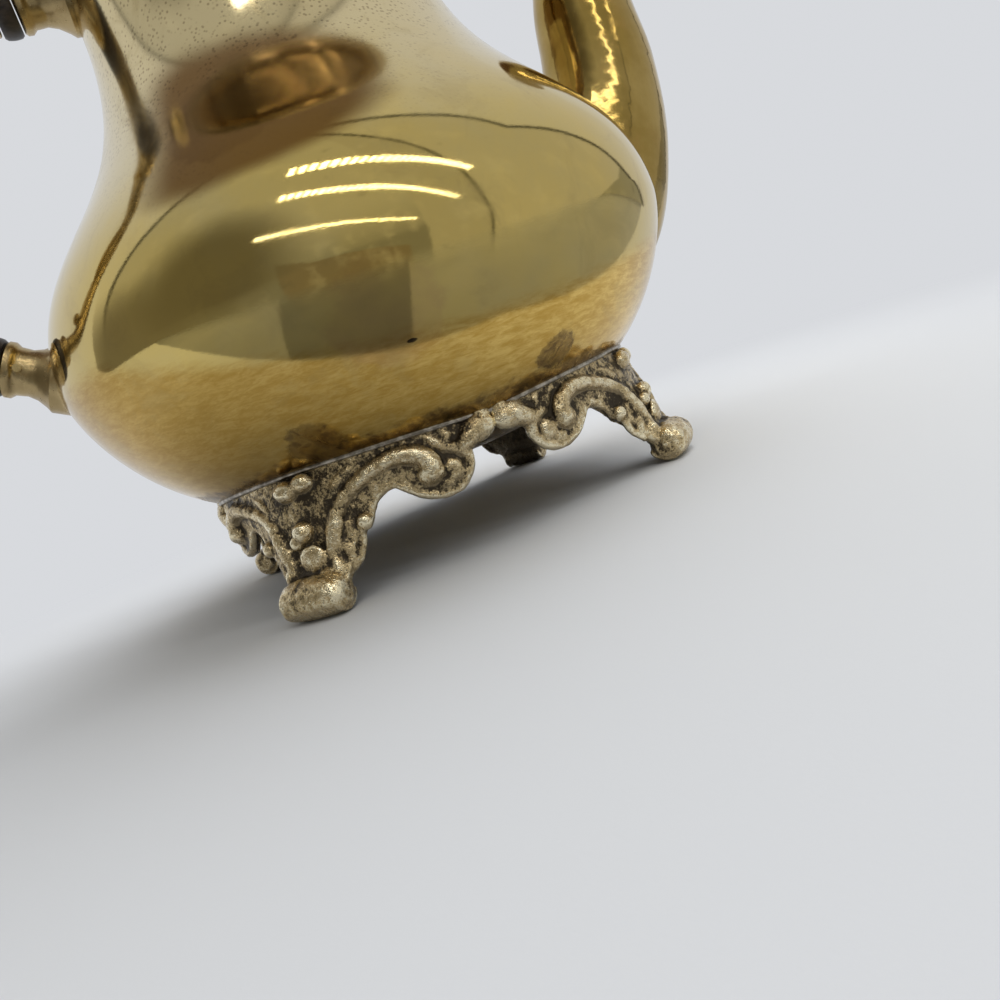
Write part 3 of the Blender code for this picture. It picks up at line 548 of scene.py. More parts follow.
# Brown band round the neck's flare and a patch on the shoulder by the handle: partly tarnish film, partly
# painted dark reflection and shade
FILM_AND_REFLECTION_LOW = (0.1390, 0.1440)
FILM_AND_REFLECTION_HIGH = (0.1560, 0.1610)
FILM_AND_REFLECTION_PATCH = ((-0.0270, -0.0520, 0.0900), 0.0130)
FILM_AND_REFLECTION_COLOUR = (0.22, 0.122, 0.050)
PIT_COLOUR = (0.22, 0.15, 0.07)
MARK_PATCH = ((-0.0144, -0.0677, 0.1113), 0.0013)
MARK_COLOUR = (0.03, 0.02, 0.015)
SMEAR_COLOUR = (0.46, 0.345, 0.135)


def body_brass():
    """Polished old brass: hazy pale shoulder, streaky tarnish low down, stains over the castings, painted
    shade on the low band's −X side, and brown marks that are partly tarnish, partly painted reflection.
    """
    net, place = new_material("body_brass")
    height = net.axis(place, 2)
    cloud = net.noise(place, 38.0, 5.0, 0.6)
    lying = net.stretch(place, (1.0, 1.0, 4.5))
    streak = net.noise(lying, 210.0, 9.0, 0.72, 0.4)
    thread = net.noise(lying, 760.0, 3.0, 0.6)

    haze = net.span(net.add(height, net.swing(cloud, 0.030)), *HAZE_HEIGHTS)
    colour = net.mixed(haze, net.mixed(net.span(cloud, 0.35, 0.7), *GOLD), HAZY_GOLD)

    level = net.most(net.dot(place, TARNISH_SLOPE), net.add(height, TARNISH_RISE))
    low = net.rest(net.span(net.add(level, net.swing(streak, 0.0040)), *TARNISH_LEVELS))
    tarnish = net.mixed(net.span(streak, 0.36, 0.66), *TARNISH)
    tarnish = net.tinted(tarnish, TARNISH_THREAD, net.span(thread, 0.45, 0.8), 0.6)
    # Painted shade: the low tarnish band is darkened towards −X.
    across = net.span(net.axis(place, 0), -0.060, 0.010)
    tarnish = net.mixed(across, net.mixed(0.45, tarnish, TARNISH_PAINTED_SHADE), tarnish)
    colour = net.tinted(colour, tarnish, low, 0.95)

    ragged = net.swing(net.noise(place, 160.0, 5.0, 0.65), 0.007)
    stain = net.most(*(net.patch(place, *spot, ragged) for spot in STAINS))
    stain = net.most(stain, net.rest(net.span(net.add(height, ragged), *STAIN_BAND)))
    swirl = net.span(net.noise(place, 420.0, 3.0, 0.6, 1.2), 0.35, 0.65)
    colour = net.mixed(net.times(stain, net.add(0.50, net.times(swirl, 0.38))), colour, STAIN_COLOUR)
    # Brown patch towards −Y: partly tarnish, partly a painted dark reflection.
    tarnish_and_reflection = net.patch(place, *BROWN_TARNISH_AND_REFLECTION_PATCH, net.times(ragged, 1.6))
    colour = net.tinted(colour, BROWN_TARNISH_AND_REFLECTION, net.times(tarnish_and_reflection, net.span(cloud, 0.25, 0.65)), 0.45)

    # Partly tarnish film, partly painted dark reflection: a brown band round the neck's flare and a patch on
    # the shoulder by the handle, where the body mirrors its own shaded neck and the handle's shade.
    torn = net.swing(net.noise(place, 62.0, 6.0, 0.65), 0.020)
    brown_tint = net.span(net.add(height, torn), *FILM_AND_REFLECTION_LOW)
    brown_tint = net.times(brown_tint, net.rest(net.span(height, *FILM_AND_REFLECTION_HIGH)))
    brown_tint = net.most(brown_tint, net.times(net.patch(place, *FILM_AND_REFLECTION_PATCH, torn), 0.3))
    colour = net.tinted(colour, FILM_AND_REFLECTION_COLOUR, net.times(brown_tint, net.span(cloud, 0.10, 0.60)), 0.88)

    pit = net.times(net.rest(net.span(net.cells(place, 1050.0), 0.16, 0.40)), haze)
    pit = net.times(pit, net.span(net.noise(place, 230.0), 0.36, 0.56))
    colour = net.tinted(colour, PIT_COLOUR, pit, 0.55)
    mark = net.patch(net.stretch(place, (1.0, 1.0, 2.6)), *MARK_PATCH, net.times(ragged, 0.25))
    colour = net.mixed(mark, colour, MARK_COLOUR)
    smear = net.span(net.noise(place, 70.0, 7.0, 0.68, 0.9), 0.50, 0.68)
    colour = net.tinted(colour, SMEAR_COLOUR, smear, 0.30)

    rough = 0.045
    cloudy = net.span(cloud, 0.3, 0.8)
    for share, amount in ((haze, 0.060), (smear, 0.055), (low, 0.05), (stain, 0.15), (cloudy, 0.035)):
        rough = net.add(rough, net.times(share, amount))
    normal = net.bump(net.noise(place, 30.0, 2.0), 0.0006, 0.20)
    normal = net.bump(thread, 0.00003, 0.10, normal)
    normal = net.bump(net.noise(place, 900.0, 3.0, 0.6), 0.00002, 0.12, normal)
    return net.finish(colour, rough, normal)


CAST_DARK = (0.060, 0.047, 0.031)
CAST_MIDDLE = (0.64, 0.50, 0.275)
CAST_BRIGHT = (1.0, 0.90, 0.64)
CAST_HOLE = (0.045, 0.032, 0.020)
CAST_FILED = (0.45, 0.36, 0.22)
# Painted shade for casting faces turned towards the body
CAST_INNER_SHADE = (0.045, 0.035, 0.025)


def cast_brass():
    """Antique cast brass: dark recesses, pitted grain, bright speckled high parts, filed undersides, and
    painted shade on faces turned towards the body.
    """
    net, place = new_material("cast_brass", metallic=0.85)
    relief = net.node("Attribute", {}, "Fac", attribute_name="relief")
    grain = net.noise(place, 750.0, 5.0, 0.7)
    speck = net.noise(place, 2400.0, 3.0, 0.7)
    pits = net.cells(place, 1500.0)
    lift = relief
    for source, amount in ((grain, 0.9), (speck, 0.7), (net.noise(place, 140.0, 4.0, 0.6), 0.9)):
        lift = net.add(lift, net.swing(source, amount))
    colour = net.mixed(net.span(lift, 0.36, 0.60), CAST_DARK, CAST_MIDDLE)
    colour = net.mixed(net.span(lift, 0.60, 0.82), colour, CAST_BRIGHT)
    hole = net.times(net.rest(net.span(pits, 0.12, 0.34)), net.span(grain, 0.44, 0.56))
    colour = net.tinted(colour, CAST_HOLE, hole, 0.75)
    facing = net.node("NewGeometry", {}, "Normal")
    filed = net.span(net.dot(facing, (0.0, 0.0, -1.0)), 0.15, 0.5)
    # Painted shade: faces turned in towards the body's axis are darkened to near black.
    outward = net.vector("NORMALIZE", net.stretch(place, (1.0, 1.0, 0.0)))
    inner = net.rest(net.span(net.dot(facing, outward), -0.45, -0.10))
    stroke = net.noise(net.stretch(place, (1.0, 1.0, 0.10)), 2300.0, 2.0, 0.6)
    colour = net.tinted(colour, CAST_FILED, filed, 0.7)
    colour = net.tinted(colour, CAST_INNER_SHADE, inner, 0.85)
    rough = net.less(0.40, net.times(net.span(lift, 0.4, 0.75), 0.26))
    calm = net.rest(net.times(net.span(relief, 0.55, 0.80), 0.82))
    normal = net.bump(net.span(pits, 0.10, 0.45), 0.00014, 0.5)
    normal = net.bump(net.times(grain, calm), 0.00030, 0.7, normal)
    normal = net.bump(speck, 0.00006, 0.5, normal)
    normal = net.bump(net.times(stroke, filed), 0.00030, 0.9, normal)
    return net.finish(colour, rough, normal)


SPOUT_BRASS = ((0.36, 0.245, 0.066), (0.46, 0.33, 0.112))
SPOUT_FILM = (0.45, 0.28, 0.09)


def warm_brass():
    """Yellow brass of the spout, with a soft hammered wobble and brown film."""
    net, place = new_material("warm_brass")
    colour = net.mixed(net.span(net.noise(place, 60.0, 5.0, 0.6), 0.35, 0.7), *SPOUT_BRASS)
    brown_tint = net.span(net.noise(place, 110.0, 6.0, 0.65), 0.52, 0.72)
    colour = net.tinted(colour, SPOUT_FILM, brown_tint, 0.35)
    normal = net.bump(net.noise(place, 120.0, 2.0), 0.0006, 0.35)
    normal = net.bump(net.noise(place, 700.0, 3.0, 0.6), 0.00003, 0.5, normal)
    return net.finish(colour, net.add(0.09, net.times(brown_tint, 0.14)), normal)


WORN_COLOUR = (0.16, 0.11, 0.05)
FITTINGS_BRASS = ((0.50, 0.37, 0.16), (0.62, 0.48, 0.23))
HANDLE_BRASS = ((0.34, 0.25, 0.12), (0.50, 0.38, 0.19))


def plain_brass(name, colours, roughness, grain_scale=420.0):
    """Handled brass with faint grain, a worn film and fine scratches."""
    net, place = new_material(name)
    grain = net.noise(place, grain_scale, 4.0, 0.65)
    dark = net.span(grain, 0.60, 0.74)
    colour = net.mixed(net.span(net.noise(place, 90.0, 5.0, 0.6), 0.3, 0.7), *colours)
    colour = net.tinted(colour, WORN_COLOUR, dark, 0.5)
    return net.finish(colour, net.add(roughness, net.times(dark, 0.16)), net.bump(grain, 0.00006, 0.5))


HORN = ((0.014, 0.011, 0.009), (0.055, 0.040, 0.030))


def dark_horn():
    """Dark insulating collar, slightly mottled."""
    net, place = new_material("dark_horn", metallic=0.0)
    cloud = net.noise(net.stretch(place, (1.0, 1.0, 4.0)), 260.0, 4.0, 0.6)
    colour = net.mixed(net.span(cloud, 0.35, 0.7), *HORN)
    return net.finish(colour, net.add(0.34, net.times(cloud, 0.15)), net.bump(cloud, 0.00005, 0.4))


SOLDER = ((0.22, 0.195, 0.16), (0.58, 0.54, 0.47))


def solder():
    """Dull silver solder, lumpy and a little stained."""
    net, place = new_material("solder")
    cloud = net.noise(place, 500.0, 5.0, 0.65)
    colour = net.mixed(net.span(cloud, 0.38, 0.66), *SOLDER)
    return net.finish(colour, net.add(0.26, net.times(cloud, 0.2)), net.bump(cloud, 0.0001, 0.5))


# Stage


PAPER = ((0.715, 0.740, 0.775), (0.732, 0.755, 0.788))
PAPER_EDGE = -0.0920
PAPER_EDGE_SOFT = 0.0006
PAPER_BEND = 0.030
PAPER_SLANT = 0.37
ROOM_FLOOR = 0.52
ROOM_FLOOR_SWING = 0.12
# Two edges of a darker strip on the room's floor, as axis and level
STRIP_EDGES = (((1.0, 0.05, 0.0), -0.0200), ((1.0, -0.78, 0.0), -0.0055))
STRIP_SHADE = 0.24
TENT_FRONT = -0.225
TENT_SOFT = 0.085
# Painted soft shadow on the paper, round a point left of the pot
PAINTED_SHADOW_PLACE = (-0.090, -0.055, 0.0)
PAINTED_SHADOW_REACH = 0.230
PAINTED_SHADOW_SHARE = 0.15
BACKDROP = (0.685, 0.700, 0.728, 1.0)
FADE_START = 0.07
FADE_END = 0.28


def stage_paper():
    """Matte pale paper with a faint tooth and a painted soft shadow left of the pot, which fades to a plain
    backdrop away from the pot.

    Past the paper's edge the metal mirrors a duller floor that ends at the tent's front, while the camera
    sees the same pale paper everywhere.
    """
    net, place = new_material("stage_paper", metallic=0.0)
    across, depth = net.axis(place, 0), net.axis(place, 1)
    colour = net.mixed(net.span(net.noise(place, 6.0, 3.0, 0.5), 0.3, 0.7), *PAPER)
    beyond = net.most(net.less(across, PAPER_BEND), 0.0)
    front = net.less(depth, net.times(beyond, PAPER_SLANT))
    paper = net.span(front, PAPER_EDGE - PAPER_EDGE_SOFT, PAPER_EDGE + PAPER_EDGE_SOFT)
    dull = net.times(net.noise(place, 14.0, 2.0), ROOM_FLOOR_SWING)
    dull = net.add(ROOM_FLOOR - ROOM_FLOOR_SWING / 2, dull)
    right, left = (net.above(place, *edge, 0.001) for edge in STRIP_EDGES)
    dull = net.less(dull, net.times(net.times(net.rest(right), left), STRIP_SHADE))
    seen = net.node("LightPath", {}, "Is Camera Ray")
    shown = net.most(paper, seen)
    # Painted shadow: the paper darkens towards a point left of the pot, for the camera and in reflections.
    painted_shadow = net.rest(net.span(net.distance(place, PAINTED_SHADOW_PLACE), 0.02, PAINTED_SHADOW_REACH))
    scale = net.add(dull, net.times(shown, net.rest(dull)))
    scale = net.times(scale, net.rest(net.times(painted_shadow, PAINTED_SHADOW_SHARE)))
    scaled = net.node("VectorMath", {0: colour, "Scale": scale}, "Vector", operation="SCALE")
    tooth = net.bump(net.noise(place, 1500.0, 3.0, 0.6), 0.00004, 0.3)
    matte = net.node("BsdfDiffuse", {"Color": scaled, "Normal": tooth})
    plain = net.node("Emission", {"Color": BACKDROP})
    away = net.span(net.distance(place, (0.0, 0.0, 0.0)), FADE_START, FADE_END)
    mirrored = net.most(seen, net.times(net.node("LightPath", {}, "Is Glossy Ray"), paper))
    shown = net.node("MixShader", {0: net.times(away, mirrored), 1: matte, 2: plain})
    gone = net.rest(net.span(depth, TENT_FRONT - TENT_SOFT, TENT_FRONT + TENT_SOFT))
    inputs = {0: net.times(gone, net.rest(seen)), 1: shown, 2: net.node("BsdfTransparent", {})}
    net.tree.nodes.remove(net.tree.nodes["Principled BSDF"])
    net.wire(net.tree.nodes["Material Output"].inputs[0], net.node("MixShader", inputs))
    return net.holder


def stage_sheet(name, points, faces, material):
    mesh = bpy.data.meshes.new(name)
    mesh.from_pydata(points, [], faces)
    mesh.materials.append(material)
    mesh.shade_smooth()
    item = linked(name, mesh)
    return item


FLOOR_NEAR = -1.60
SWEEP_START = 0.60
SWEEP_RADIUS = 0.30
SWEEP_HEIGHT = 1.30
SWEEP_STEPS = 12
STAGE_HALF_WIDTH = 1.80


def make_stage():
    """Pale paper that lies under the pot and rises behind it."""
    profile = [(FLOOR_NEAR, 0.0), (SWEEP_START, 0.0)]
    for step in range(1, SWEEP_STEPS + 1):
        turn = pi / 2 * step / SWEEP_STEPS
        profile.append((SWEEP_START + SWEEP_RADIUS * sin(turn), SWEEP_RADIUS * (1 - cos(turn))))
    profile.append((SWEEP_START + SWEEP_RADIUS, SWEEP_HEIGHT))
    points = [(side * STAGE_HALF_WIDTH, *place) for place in profile for side in (-1, 1)]
    faces = [(2 * i, 2 * i + 1, 2 * i + 3, 2 * i + 2) for i in range(len(profile) - 1)]
    stage_sheet("paper", points, faces, stage_paper())


SOFT_BOX_PLACE = (0.55, 0.08, 1.15)
SOFT_BOX_SIZE = 1.5
SOFT_BOX_POWER = 12.8


def make_soft_box():
    """Wide soft lamp over the pot's right, which the polished metal does not mirror."""
    data = bpy.data.lights.new("soft_box", "AREA")
    data.shape = "SQUARE"
    data.size = SOFT_BOX_SIZE
    data.energy = SOFT_BOX_POWER
    item = linked("soft_box", data)
    item.visible_glossy = False
    item.matrix_world = towards(SOFT_BOX_PLACE, SOFT_BOX_PLACE)


LAMP_HEIGHT = 1.45
LAMP_HALF_WIDTH = 0.055
LAMP_COLOUR = (1.0, 0.975, 0.93, 1.0)
LAMP_POWER = 8.0
LAMP_PITCH = 0.075
# Half of a lamp's length, as a share of the pitch
LAMP_HALF_SHARE = 0.34
# Start and end of each row, as metres along X and Y from the origin for each metre of height
LAMP_ROWS = (
    ((-0.237, -0.352), (0.918, -1.310)),
    ((-0.443, -0.610), (1.117, -2.510)),
    ((-1.048, -1.048), (0.500, -3.600)),
)


def make_lamps():
    """Three rows of small ceiling lamps, which the belly mirrors as dotted lines."""
    net = Net(bpy.data.materials.new("lamp"))
    net.tree.nodes.clear()
    glow = net.node("Emission", {"Color": LAMP_COLOUR, "Strength": LAMP_POWER})
    output = net.tree.nodes.new("ShaderNodeOutputMaterial")
    net.wire(output.inputs[0], glow)
    for number, ends in enumerate(LAMP_ROWS):
        first, last = (Vector((*end, 1.0)) * LAMP_HEIGHT for end in ends)
        along = (last - first).normalized()
        across = along.cross(Vector((0.0, 0.0, 1.0))) * LAMP_HALF_WIDTH
        count = int((last - first).length / LAMP_PITCH)
        points = []
        faces = []
        for lamp in range(count):
            middle = first + (last - first) * (lamp + 0.5) / count
            for forward, side in ((-1, -1), (1, -1), (1, 1), (-1, 1)):
                points.append(middle + along * LAMP_HALF_SHARE * LAMP_PITCH * forward + across * side)
            faces.append(tuple(range(4 * lamp, 4 * lamp + 4)))
        stage_sheet("lamps_%d" % number, points, faces, net.holder).visible_camera = False


TENT = (0.66, 0.665, 0.67)
ROOM_LOW = (0.25, 0.25, 0.235)
ROOM_HIGH = (0.50, 0.50, 0.48)
ROOM_PANEL = ((0.33, 0.33, 0.30), (0.55, 0.545, 0.52))
ROOM_LINE = (0.10, 0.10, 0.09)
ROOM_PLANES = ((0.2694, -0.7822, -0.5621), (-0.342, -0.940, 0.0))
PANEL_PLANE = (0.8387, 0.5446, 0.0)
PANEL_SPLIT = (-0.0677, -0.634, 0.770)
SIDE_PLANE = (0.9848, 0.1736, 0.0)
BOX_PLANES = ((-0.9986, -0.0523, 0.0), (0.766, -0.643, 0.0), (-0.533, 0.111, -0.839))
BOX_SHADE = (0.235, 0.205, 0.165)
ROOM_SIDE = (0.46, 0.455, 0.43)
SIDE_FLOOR = (0.0, -0.42, 0.9075)
FOLD_BRIGHT = (0.66, 0.655, 0.62)
FOLD_DARK = (0.12, 0.12, 0.11)
# Azimuth, elevation, outer and inner angle in degrees, and colour of soft dark areas
ROOM_SHADES = (
    (172.0, 4.0, 34.0, 14.0, (0.21, 0.20, 0.18)),
    (-152.0, 24.0, 36.0, 13.0, (0.165, 0.155, 0.130)),
    (102.0, 74.0, 27.5, 16.0, (0.180, 0.130, 0.098)),
)


def make_world():
    """Pale light tent that opens on a duller room. The camera itself sees an even pale backdrop."""
    world = bpy.data.worlds.new("room")
    bpy.context.scene.world = world
    net = Net(world)
    direction = net.node("TexCoord", {}, "Generated")
    room = net.most(*(net.above(direction, plane) for plane in ROOM_PLANES))
    wider = net.most(*(net.above(direction, plane, -0.03) for plane in ROOM_PLANES))
    inside = net.mixed(net.span(net.dot(direction, (0.0, 0.0, 1.0)), -0.05, 0.62), ROOM_LOW, ROOM_HIGH)
    side = net.times(net.above(direction, SIDE_PLANE), net.above(direction, SIDE_FLOOR, 0.0, 0.05))
    inside = net.mixed(side, inside, ROOM_SIDE)
    panel = net.above(direction, PANEL_PLANE)
    inside = net.mixed(panel, inside, net.mixed(net.above(direction, PANEL_SPLIT), *ROOM_PANEL))
    first, second, third = (net.above(direction, plane) for plane in BOX_PLANES)
    inside = net.mixed(net.times(net.times(first, second), third), inside, BOX_SHADE)
    inside = net.mixed(net.less(net.above(direction, PANEL_PLANE, -0.020), panel), inside, ROOM_LINE)
    folds = net.noise(net.stretch(direction, (1.0, 1.0, 0.35)), 7.0, 5.0, 0.6, 0.3)
    inside = net.tinted(inside, FOLD_BRIGHT, net.span(folds, 0.50, 0.72), 0.40)
    inside = net.mixed(net.less(0.30, net.span(folds, 0.28, 0.46), True), inside, FOLD_DARK)
    colour = net.mixed(room, net.mixed(wider, TENT, ROOM_LINE), inside)
    warp = net.node("TexNoise", {"Vector": direction, "Scale": 2.2, "Detail": 2.0}, "Color")
    shift = net.stretch(net.vector("SUBTRACT", warp, (0.5, 0.5, 0.5)), (0.05, 0.05, 0.05))
    ragged = net.vector("ADD", direction, shift)
    for azimuth, elevation, outer, inner, value in ROOM_SHADES:
        turn, lift = radians(azimuth), radians(elevation)
        axis = (cos(lift) * cos(turn), cos(lift) * sin(turn), sin(lift))
        share = net.span(net.dot(ragged, axis), cos(radians(outer)), cos(radians(inner)))
        colour = net.mixed(share, colour, value)
    background = net.tree.nodes["Background"]
    net.wire(background.inputs["Color"], colour)
    plain = net.node("Background", {"Color": BACKDROP})
    seen = net.node("LightPath", {}, "Is Camera Ray")
    mixer = net.node("MixShader", {0: seen, 1: background.outputs[0], 2: plain})
    net.wire(net.tree.nodes["World Output"].inputs[0], mixer)


def make_camera():
    data = bpy.data.cameras.new("camera")
    data.sensor_width = CAMERA_SENSOR
    data.lens = CAMERA_LENS
    data.clip_start = CAMERA_NEAREST
    item = linked("camera", data)
    axes = (Vector(CAMERA_RIGHT), Vector(CAMERA_UP), -Vector(CAMERA_FORWARD))
    matrix = Matrix(axes).transposed().to_4x4()
    matrix.translation = CAMERA_PLACE
    item.matrix_world = matrix
    bpy.context.scene.camera = item


# Body pieces

BODY_SIDES = 192
BODY_SHRINK = 0.9999
STRAINER_RISE = 0.0029
STRAINER_PITCH = 0.0070
STRAINER_HOLE_RADIUS = 0.0018
STRAINER_ROWS = 5
ROD_MARGIN = 0.004


def make_body(material):
    outer = [(radius * BODY_SHRINK, height) for radius, height in body_outline(fineness=5)]
    inner = offset_outline(outer, -BODY_WALL)[2:-1]
    inner.insert(0, (MOUTH_RADIUS - BODY_WALL, MOUTH_HEIGHT))
    inner.append((BASE_HOLE_RADIUS, outer[-1][1] + BODY_WALL))
    reach = (BASE_HOLE_RADIUS, BELLY_RADIUS + ROD_MARGIN)
    rods = Solids()
    for column in range(-2, 3):
        rows = STRAINER_ROWS - abs(column)
        for row in range(rows):
            height = BELLY_HEIGHT + STRAINER_RISE + (row - (rows - 1) / 2) * STRAINER_PITCH
            side = column * STRAINER_PITCH * cos(pi / 6)
            hole = [
                (side + STRAINER_HOLE_RADIUS * cos(turn), height + STRAINER_HOLE_RADIUS * sin(turn))
                for turn in circle(16)
            ]
            loft(rods, [[(x, *point) for point in hole] for x in reach])
    shell = turned(outer + inner[::-1], BODY_SIDES)
    add_piece("spun_body", bored(shell, rods, "body_shell"), material, "pot", "body_shell")


# Front and back edge, each as (x, z) from the belly's widest point, and half width
SPOUT_STATIONS = (
    (-0.0150, -0.0254, -0.0250, 0.0156, 0.0185),
    (0.0105, -0.0094, -0.0110, 0.0276, 0.0180),
    (0.0240, 0.0146, -0.0045, 0.0386, 0.0168),
    (0.0290, 0.0396, -0.0015, 0.0506, 0.0150),
    (0.0285, 0.0616, 0.0015, 0.0661, 0.0126),
    (0.0340, 0.0831, 0.0110, 0.0881, 0.0103),
    (0.0500, 0.0975, 0.0325, 0.1090, 0.0086),
)
SPOUT_WALL = 0.0018
SPOUT_SIDES = 72
SPOUT_LIP_ROUND = 0.0006
SPOUT_SEAM_RADIUS = 0.00040


def spout_rings(wall):
    """Elliptic rings from inside the belly to the mouth, drawn in by a wall thickness."""
    rings = []
    for front_x, front_z, back_x, back_z, half_width in smooth_path(SPOUT_STATIONS, steps=12):
        front = Vector((BELLY_RADIUS + front_x, 0.0, BELLY_HEIGHT + front_z))
        back = Vector((BELLY_RADIUS + back_x, 0.0, BELLY_HEIGHT + back_z))
        middle = (front + back) / 2
        reach = (front - back) / 2
        reach -= reach.normalized() * wall
        side = Vector((0.0, half_width - wall, 0.0))
        rings.append([middle + reach * cos(turn) + side * sin(turn) for turn in circle(SPOUT_SIDES)])
    return rings


def make_spout(material, seam):
    solids = Solids()
    outer = spout_rings(0.0)
    inner = spout_rings(SPOUT_WALL)
    loft(solids, outer[:-1] + spout_lip(outer, inner) + inner[-2::-1], capped=False)
    add_piece("cast_spout", seated(solids.mesh("spout")), material, "pot", "spout")
    contact = [meeting([ring[side] for ring in outer]) for side in range(SPOUT_SIDES)]
    bead = Solids()
    loft(bead, closed_tube(contact, SPOUT_SEAM_RADIUS, sides=8), capped=False)
    add_piece("spout_seam", bead.mesh("seam"), seam, "pot", "spout", replaced=False)


def spout_lip(outer, inner):
    """Rounded edge between the last outer and inner rings, inside the CAD's flat end."""
    mouth, bore = outer[-1], inner[-1]
    last, before = ((Vector(ring[0]) + Vector(ring[SPOUT_SIDES // 2])) / 2 for ring in (outer[-1], outer[-3]))
    direction = (last - before).normalized()
    lip = []
    for share in (0.0, 0.15, 0.5, 0.85, 1.0):
        back = direction * (abs(share - 0.5) ** 2 * 4 * SPOUT_LIP_ROUND)
        lip.append([a + (b - a) * share - back for a, b in zip(mouth, bore)])
    return lip


def closed_tube(points, radius, sides):
    """Rings of a thin tube round a closed line of points."""
    rings = []
    count = len(points)
    for index in range(count + 1):
        place = points[index % count]
        along = (points[(index + 1) % count] - points[index % count - 1]).normalized()
        around = Vector((place.x, place.y, 0.0)).normalized()
        side = (around - along * around.dot(along)).normalized()
        other = along.cross(side)
        rings.append([place + (side * cos(t) + other * sin(t)) * radius for t in circle(sides)])
    return rings


# In from the rim's edge and down from its top
RIM_PROFILE = (
    (0.0012, 0.0), (0.0004, 0.0004), (0.0, 0.0012), (0.0, 0.0019),
    (0.0004, 0.0026), (0.0010, 0.0030), (0.0013, 0.0040), (0.0020, 0.0060),
)
RIM_WIDTH = 0.0026
RIM_DEPTH = 0.006
RIM_CLEAR = 0.0001
DISC_LIP = 0.0028
DISC_THICKNESS = 0.0014
DISC_EDGE = 0.0006
DISC_CHAMFER = 0.0003


def make_rim_and_disc(rim_material, disc_material):
    ring = [(MOUTH_RADIUS + RIM_WIDTH - inward, MOUTH_HEIGHT - down) for inward, down in RIM_PROFILE]
    heights = np.linspace(MOUTH_HEIGHT - RIM_DEPTH, MOUTH_HEIGHT, 8)
    bore = [(radius_at(height) + RIM_CLEAR, height) for height in heights]
    add_piece("mouth_ring", turned(ring + bore, BODY_SIDES).mesh("rim"), rim_material, "pot", "mouth_rim")
    edge = OUTLINE[-1][1]
    seat = edge + BODY_WALL + FIT_GAP
    plug = BASE_HOLE_RADIUS - FIT_GAP
    lip = plug + DISC_LIP
    disc = [(0.0, seat + DISC_THICKNESS), (lip, seat + DISC_THICKNESS), (lip, seat + DISC_EDGE)]
    disc += [(plug, seat), (plug, edge + DISC_CHAMFER), (plug - DISC_CHAMFER, edge), (0.0, edge)]
    add_piece("bottom_disc", turned(disc, sides=96).mesh("disc"), disc_material, "pot", "base_disc")


# Handle


HANDLE_BAR_RADIUS = 0.0042
FERRULE_RADIUS = 0.0058
FERRULE_LENGTH = 0.0095
FERRULE_NECK_STEP = 0.0003
FERRULE_NECK_PLACE = 0.0086
# In from the ferrule's side, and along from its collar
FERRULE_PROFILE = (
    (0.0004, 0.0076), (0.0, 0.0064), (0.0006, 0.0052), (0.0006, 0.0020), (0.0, 0.0013), (0.0, 0.0),
)
SOCKET_LENGTH = 0.0100
SOCKET_RADIUS = 0.0062
SOCKET_FLARE = 0.0018
# In from the socket's side, and down from its head
SOCKET_HEAD = ((0.0005, 0.0), (0.0, 0.0005), (0.0, 0.0016), (0.0008, 0.0026))
# In from the socket's side, and share of its length
SOCKET_WAIST = ((0.0010, 0.5), (0.0004, 0.3))
COLLAR_LENGTH = 0.0040
COLLAR_RADIUS = 0.0066
COLLAR_CHAMFER = 0.0006
COLLAR_BULGE = 0.0003
COLLAR_STEPS = 8
HANDLE_REACH = 0.1205
HANDLE_TOP_HEIGHT = MOUTH_HEIGHT - 0.0162
HANDLE_FOOT_HEIGHT = BELLY_HEIGHT + 0.0069
HANDLE_ARCH = HANDLE_TOP_HEIGHT + 0.0110
HANDLE_STEM = 0.66
HANDLE_VOXEL = 0.00045
LOWER_SLOPE = radians(30)
# Share of the reach, share of the drop, and thickness
HANDLE_SWEEP = (
    (0.80, 0.08, 1.00),
    (0.56, 0.00, 1.00),
    (0.25, 0.05, 1.05),
    (0.04, 0.24, 1.10),
    (0.01, 0.50, 1.15),
    (0.05, 0.80, 1.15),
)
HANDLE_LEAF = ((0.48, 0.02, 0.70), (0.29, 0.17, 0.90), (0.16, 0.32, 0.85), (0.05, 0.47, 0.50))
HANDLE_SPUR = ((0.05, 0.82, 0.70), (0.12, 0.87, 0.60), (0.25, 0.88, 0.55))
HANDLE_BALLS = ((HANDLE_LEAF[-1], 0.0032), (HANDLE_SPUR[-1], 0.0030))
HANDLE_BANDS = ((0.015, 0.30, 1.00), (0.015, 0.38, 1.00), (0.015, 0.46, 1.00))
HANDLE_BAND_SIZES = (0.0050, 0.0053, 0.0022)
AXES = (Vector((1, 0, 0)), Vector((0, 1, 0)), Vector((0, 0, 1)))


def handle_mounts():
    """Place on the body's surface and outward direction of each handle socket."""
    upper = Vector((-radius_at(HANDLE_TOP_HEIGHT), 0.0, HANDLE_TOP_HEIGHT))
    lower = Vector((-radius_at(HANDLE_FOOT_HEIGHT), 0.0, HANDLE_FOOT_HEIGHT))
    slope = Vector((-cos(LOWER_SLOPE), 0.0, sin(LOWER_SLOPE)))
    return (("upper", upper, Vector((-1.0, 0.0, 0.0))), ("lower", lower, slope))


def turned_along(solids, outline, base, direction, sides=48):
    """Closed turned shape whose axis runs from a base along a direction."""
    matrix = towards(base, direction)
    shape = turned(outline, sides)
    solids.add([matrix @ Vector(point) for point in shape.points], shape.faces)


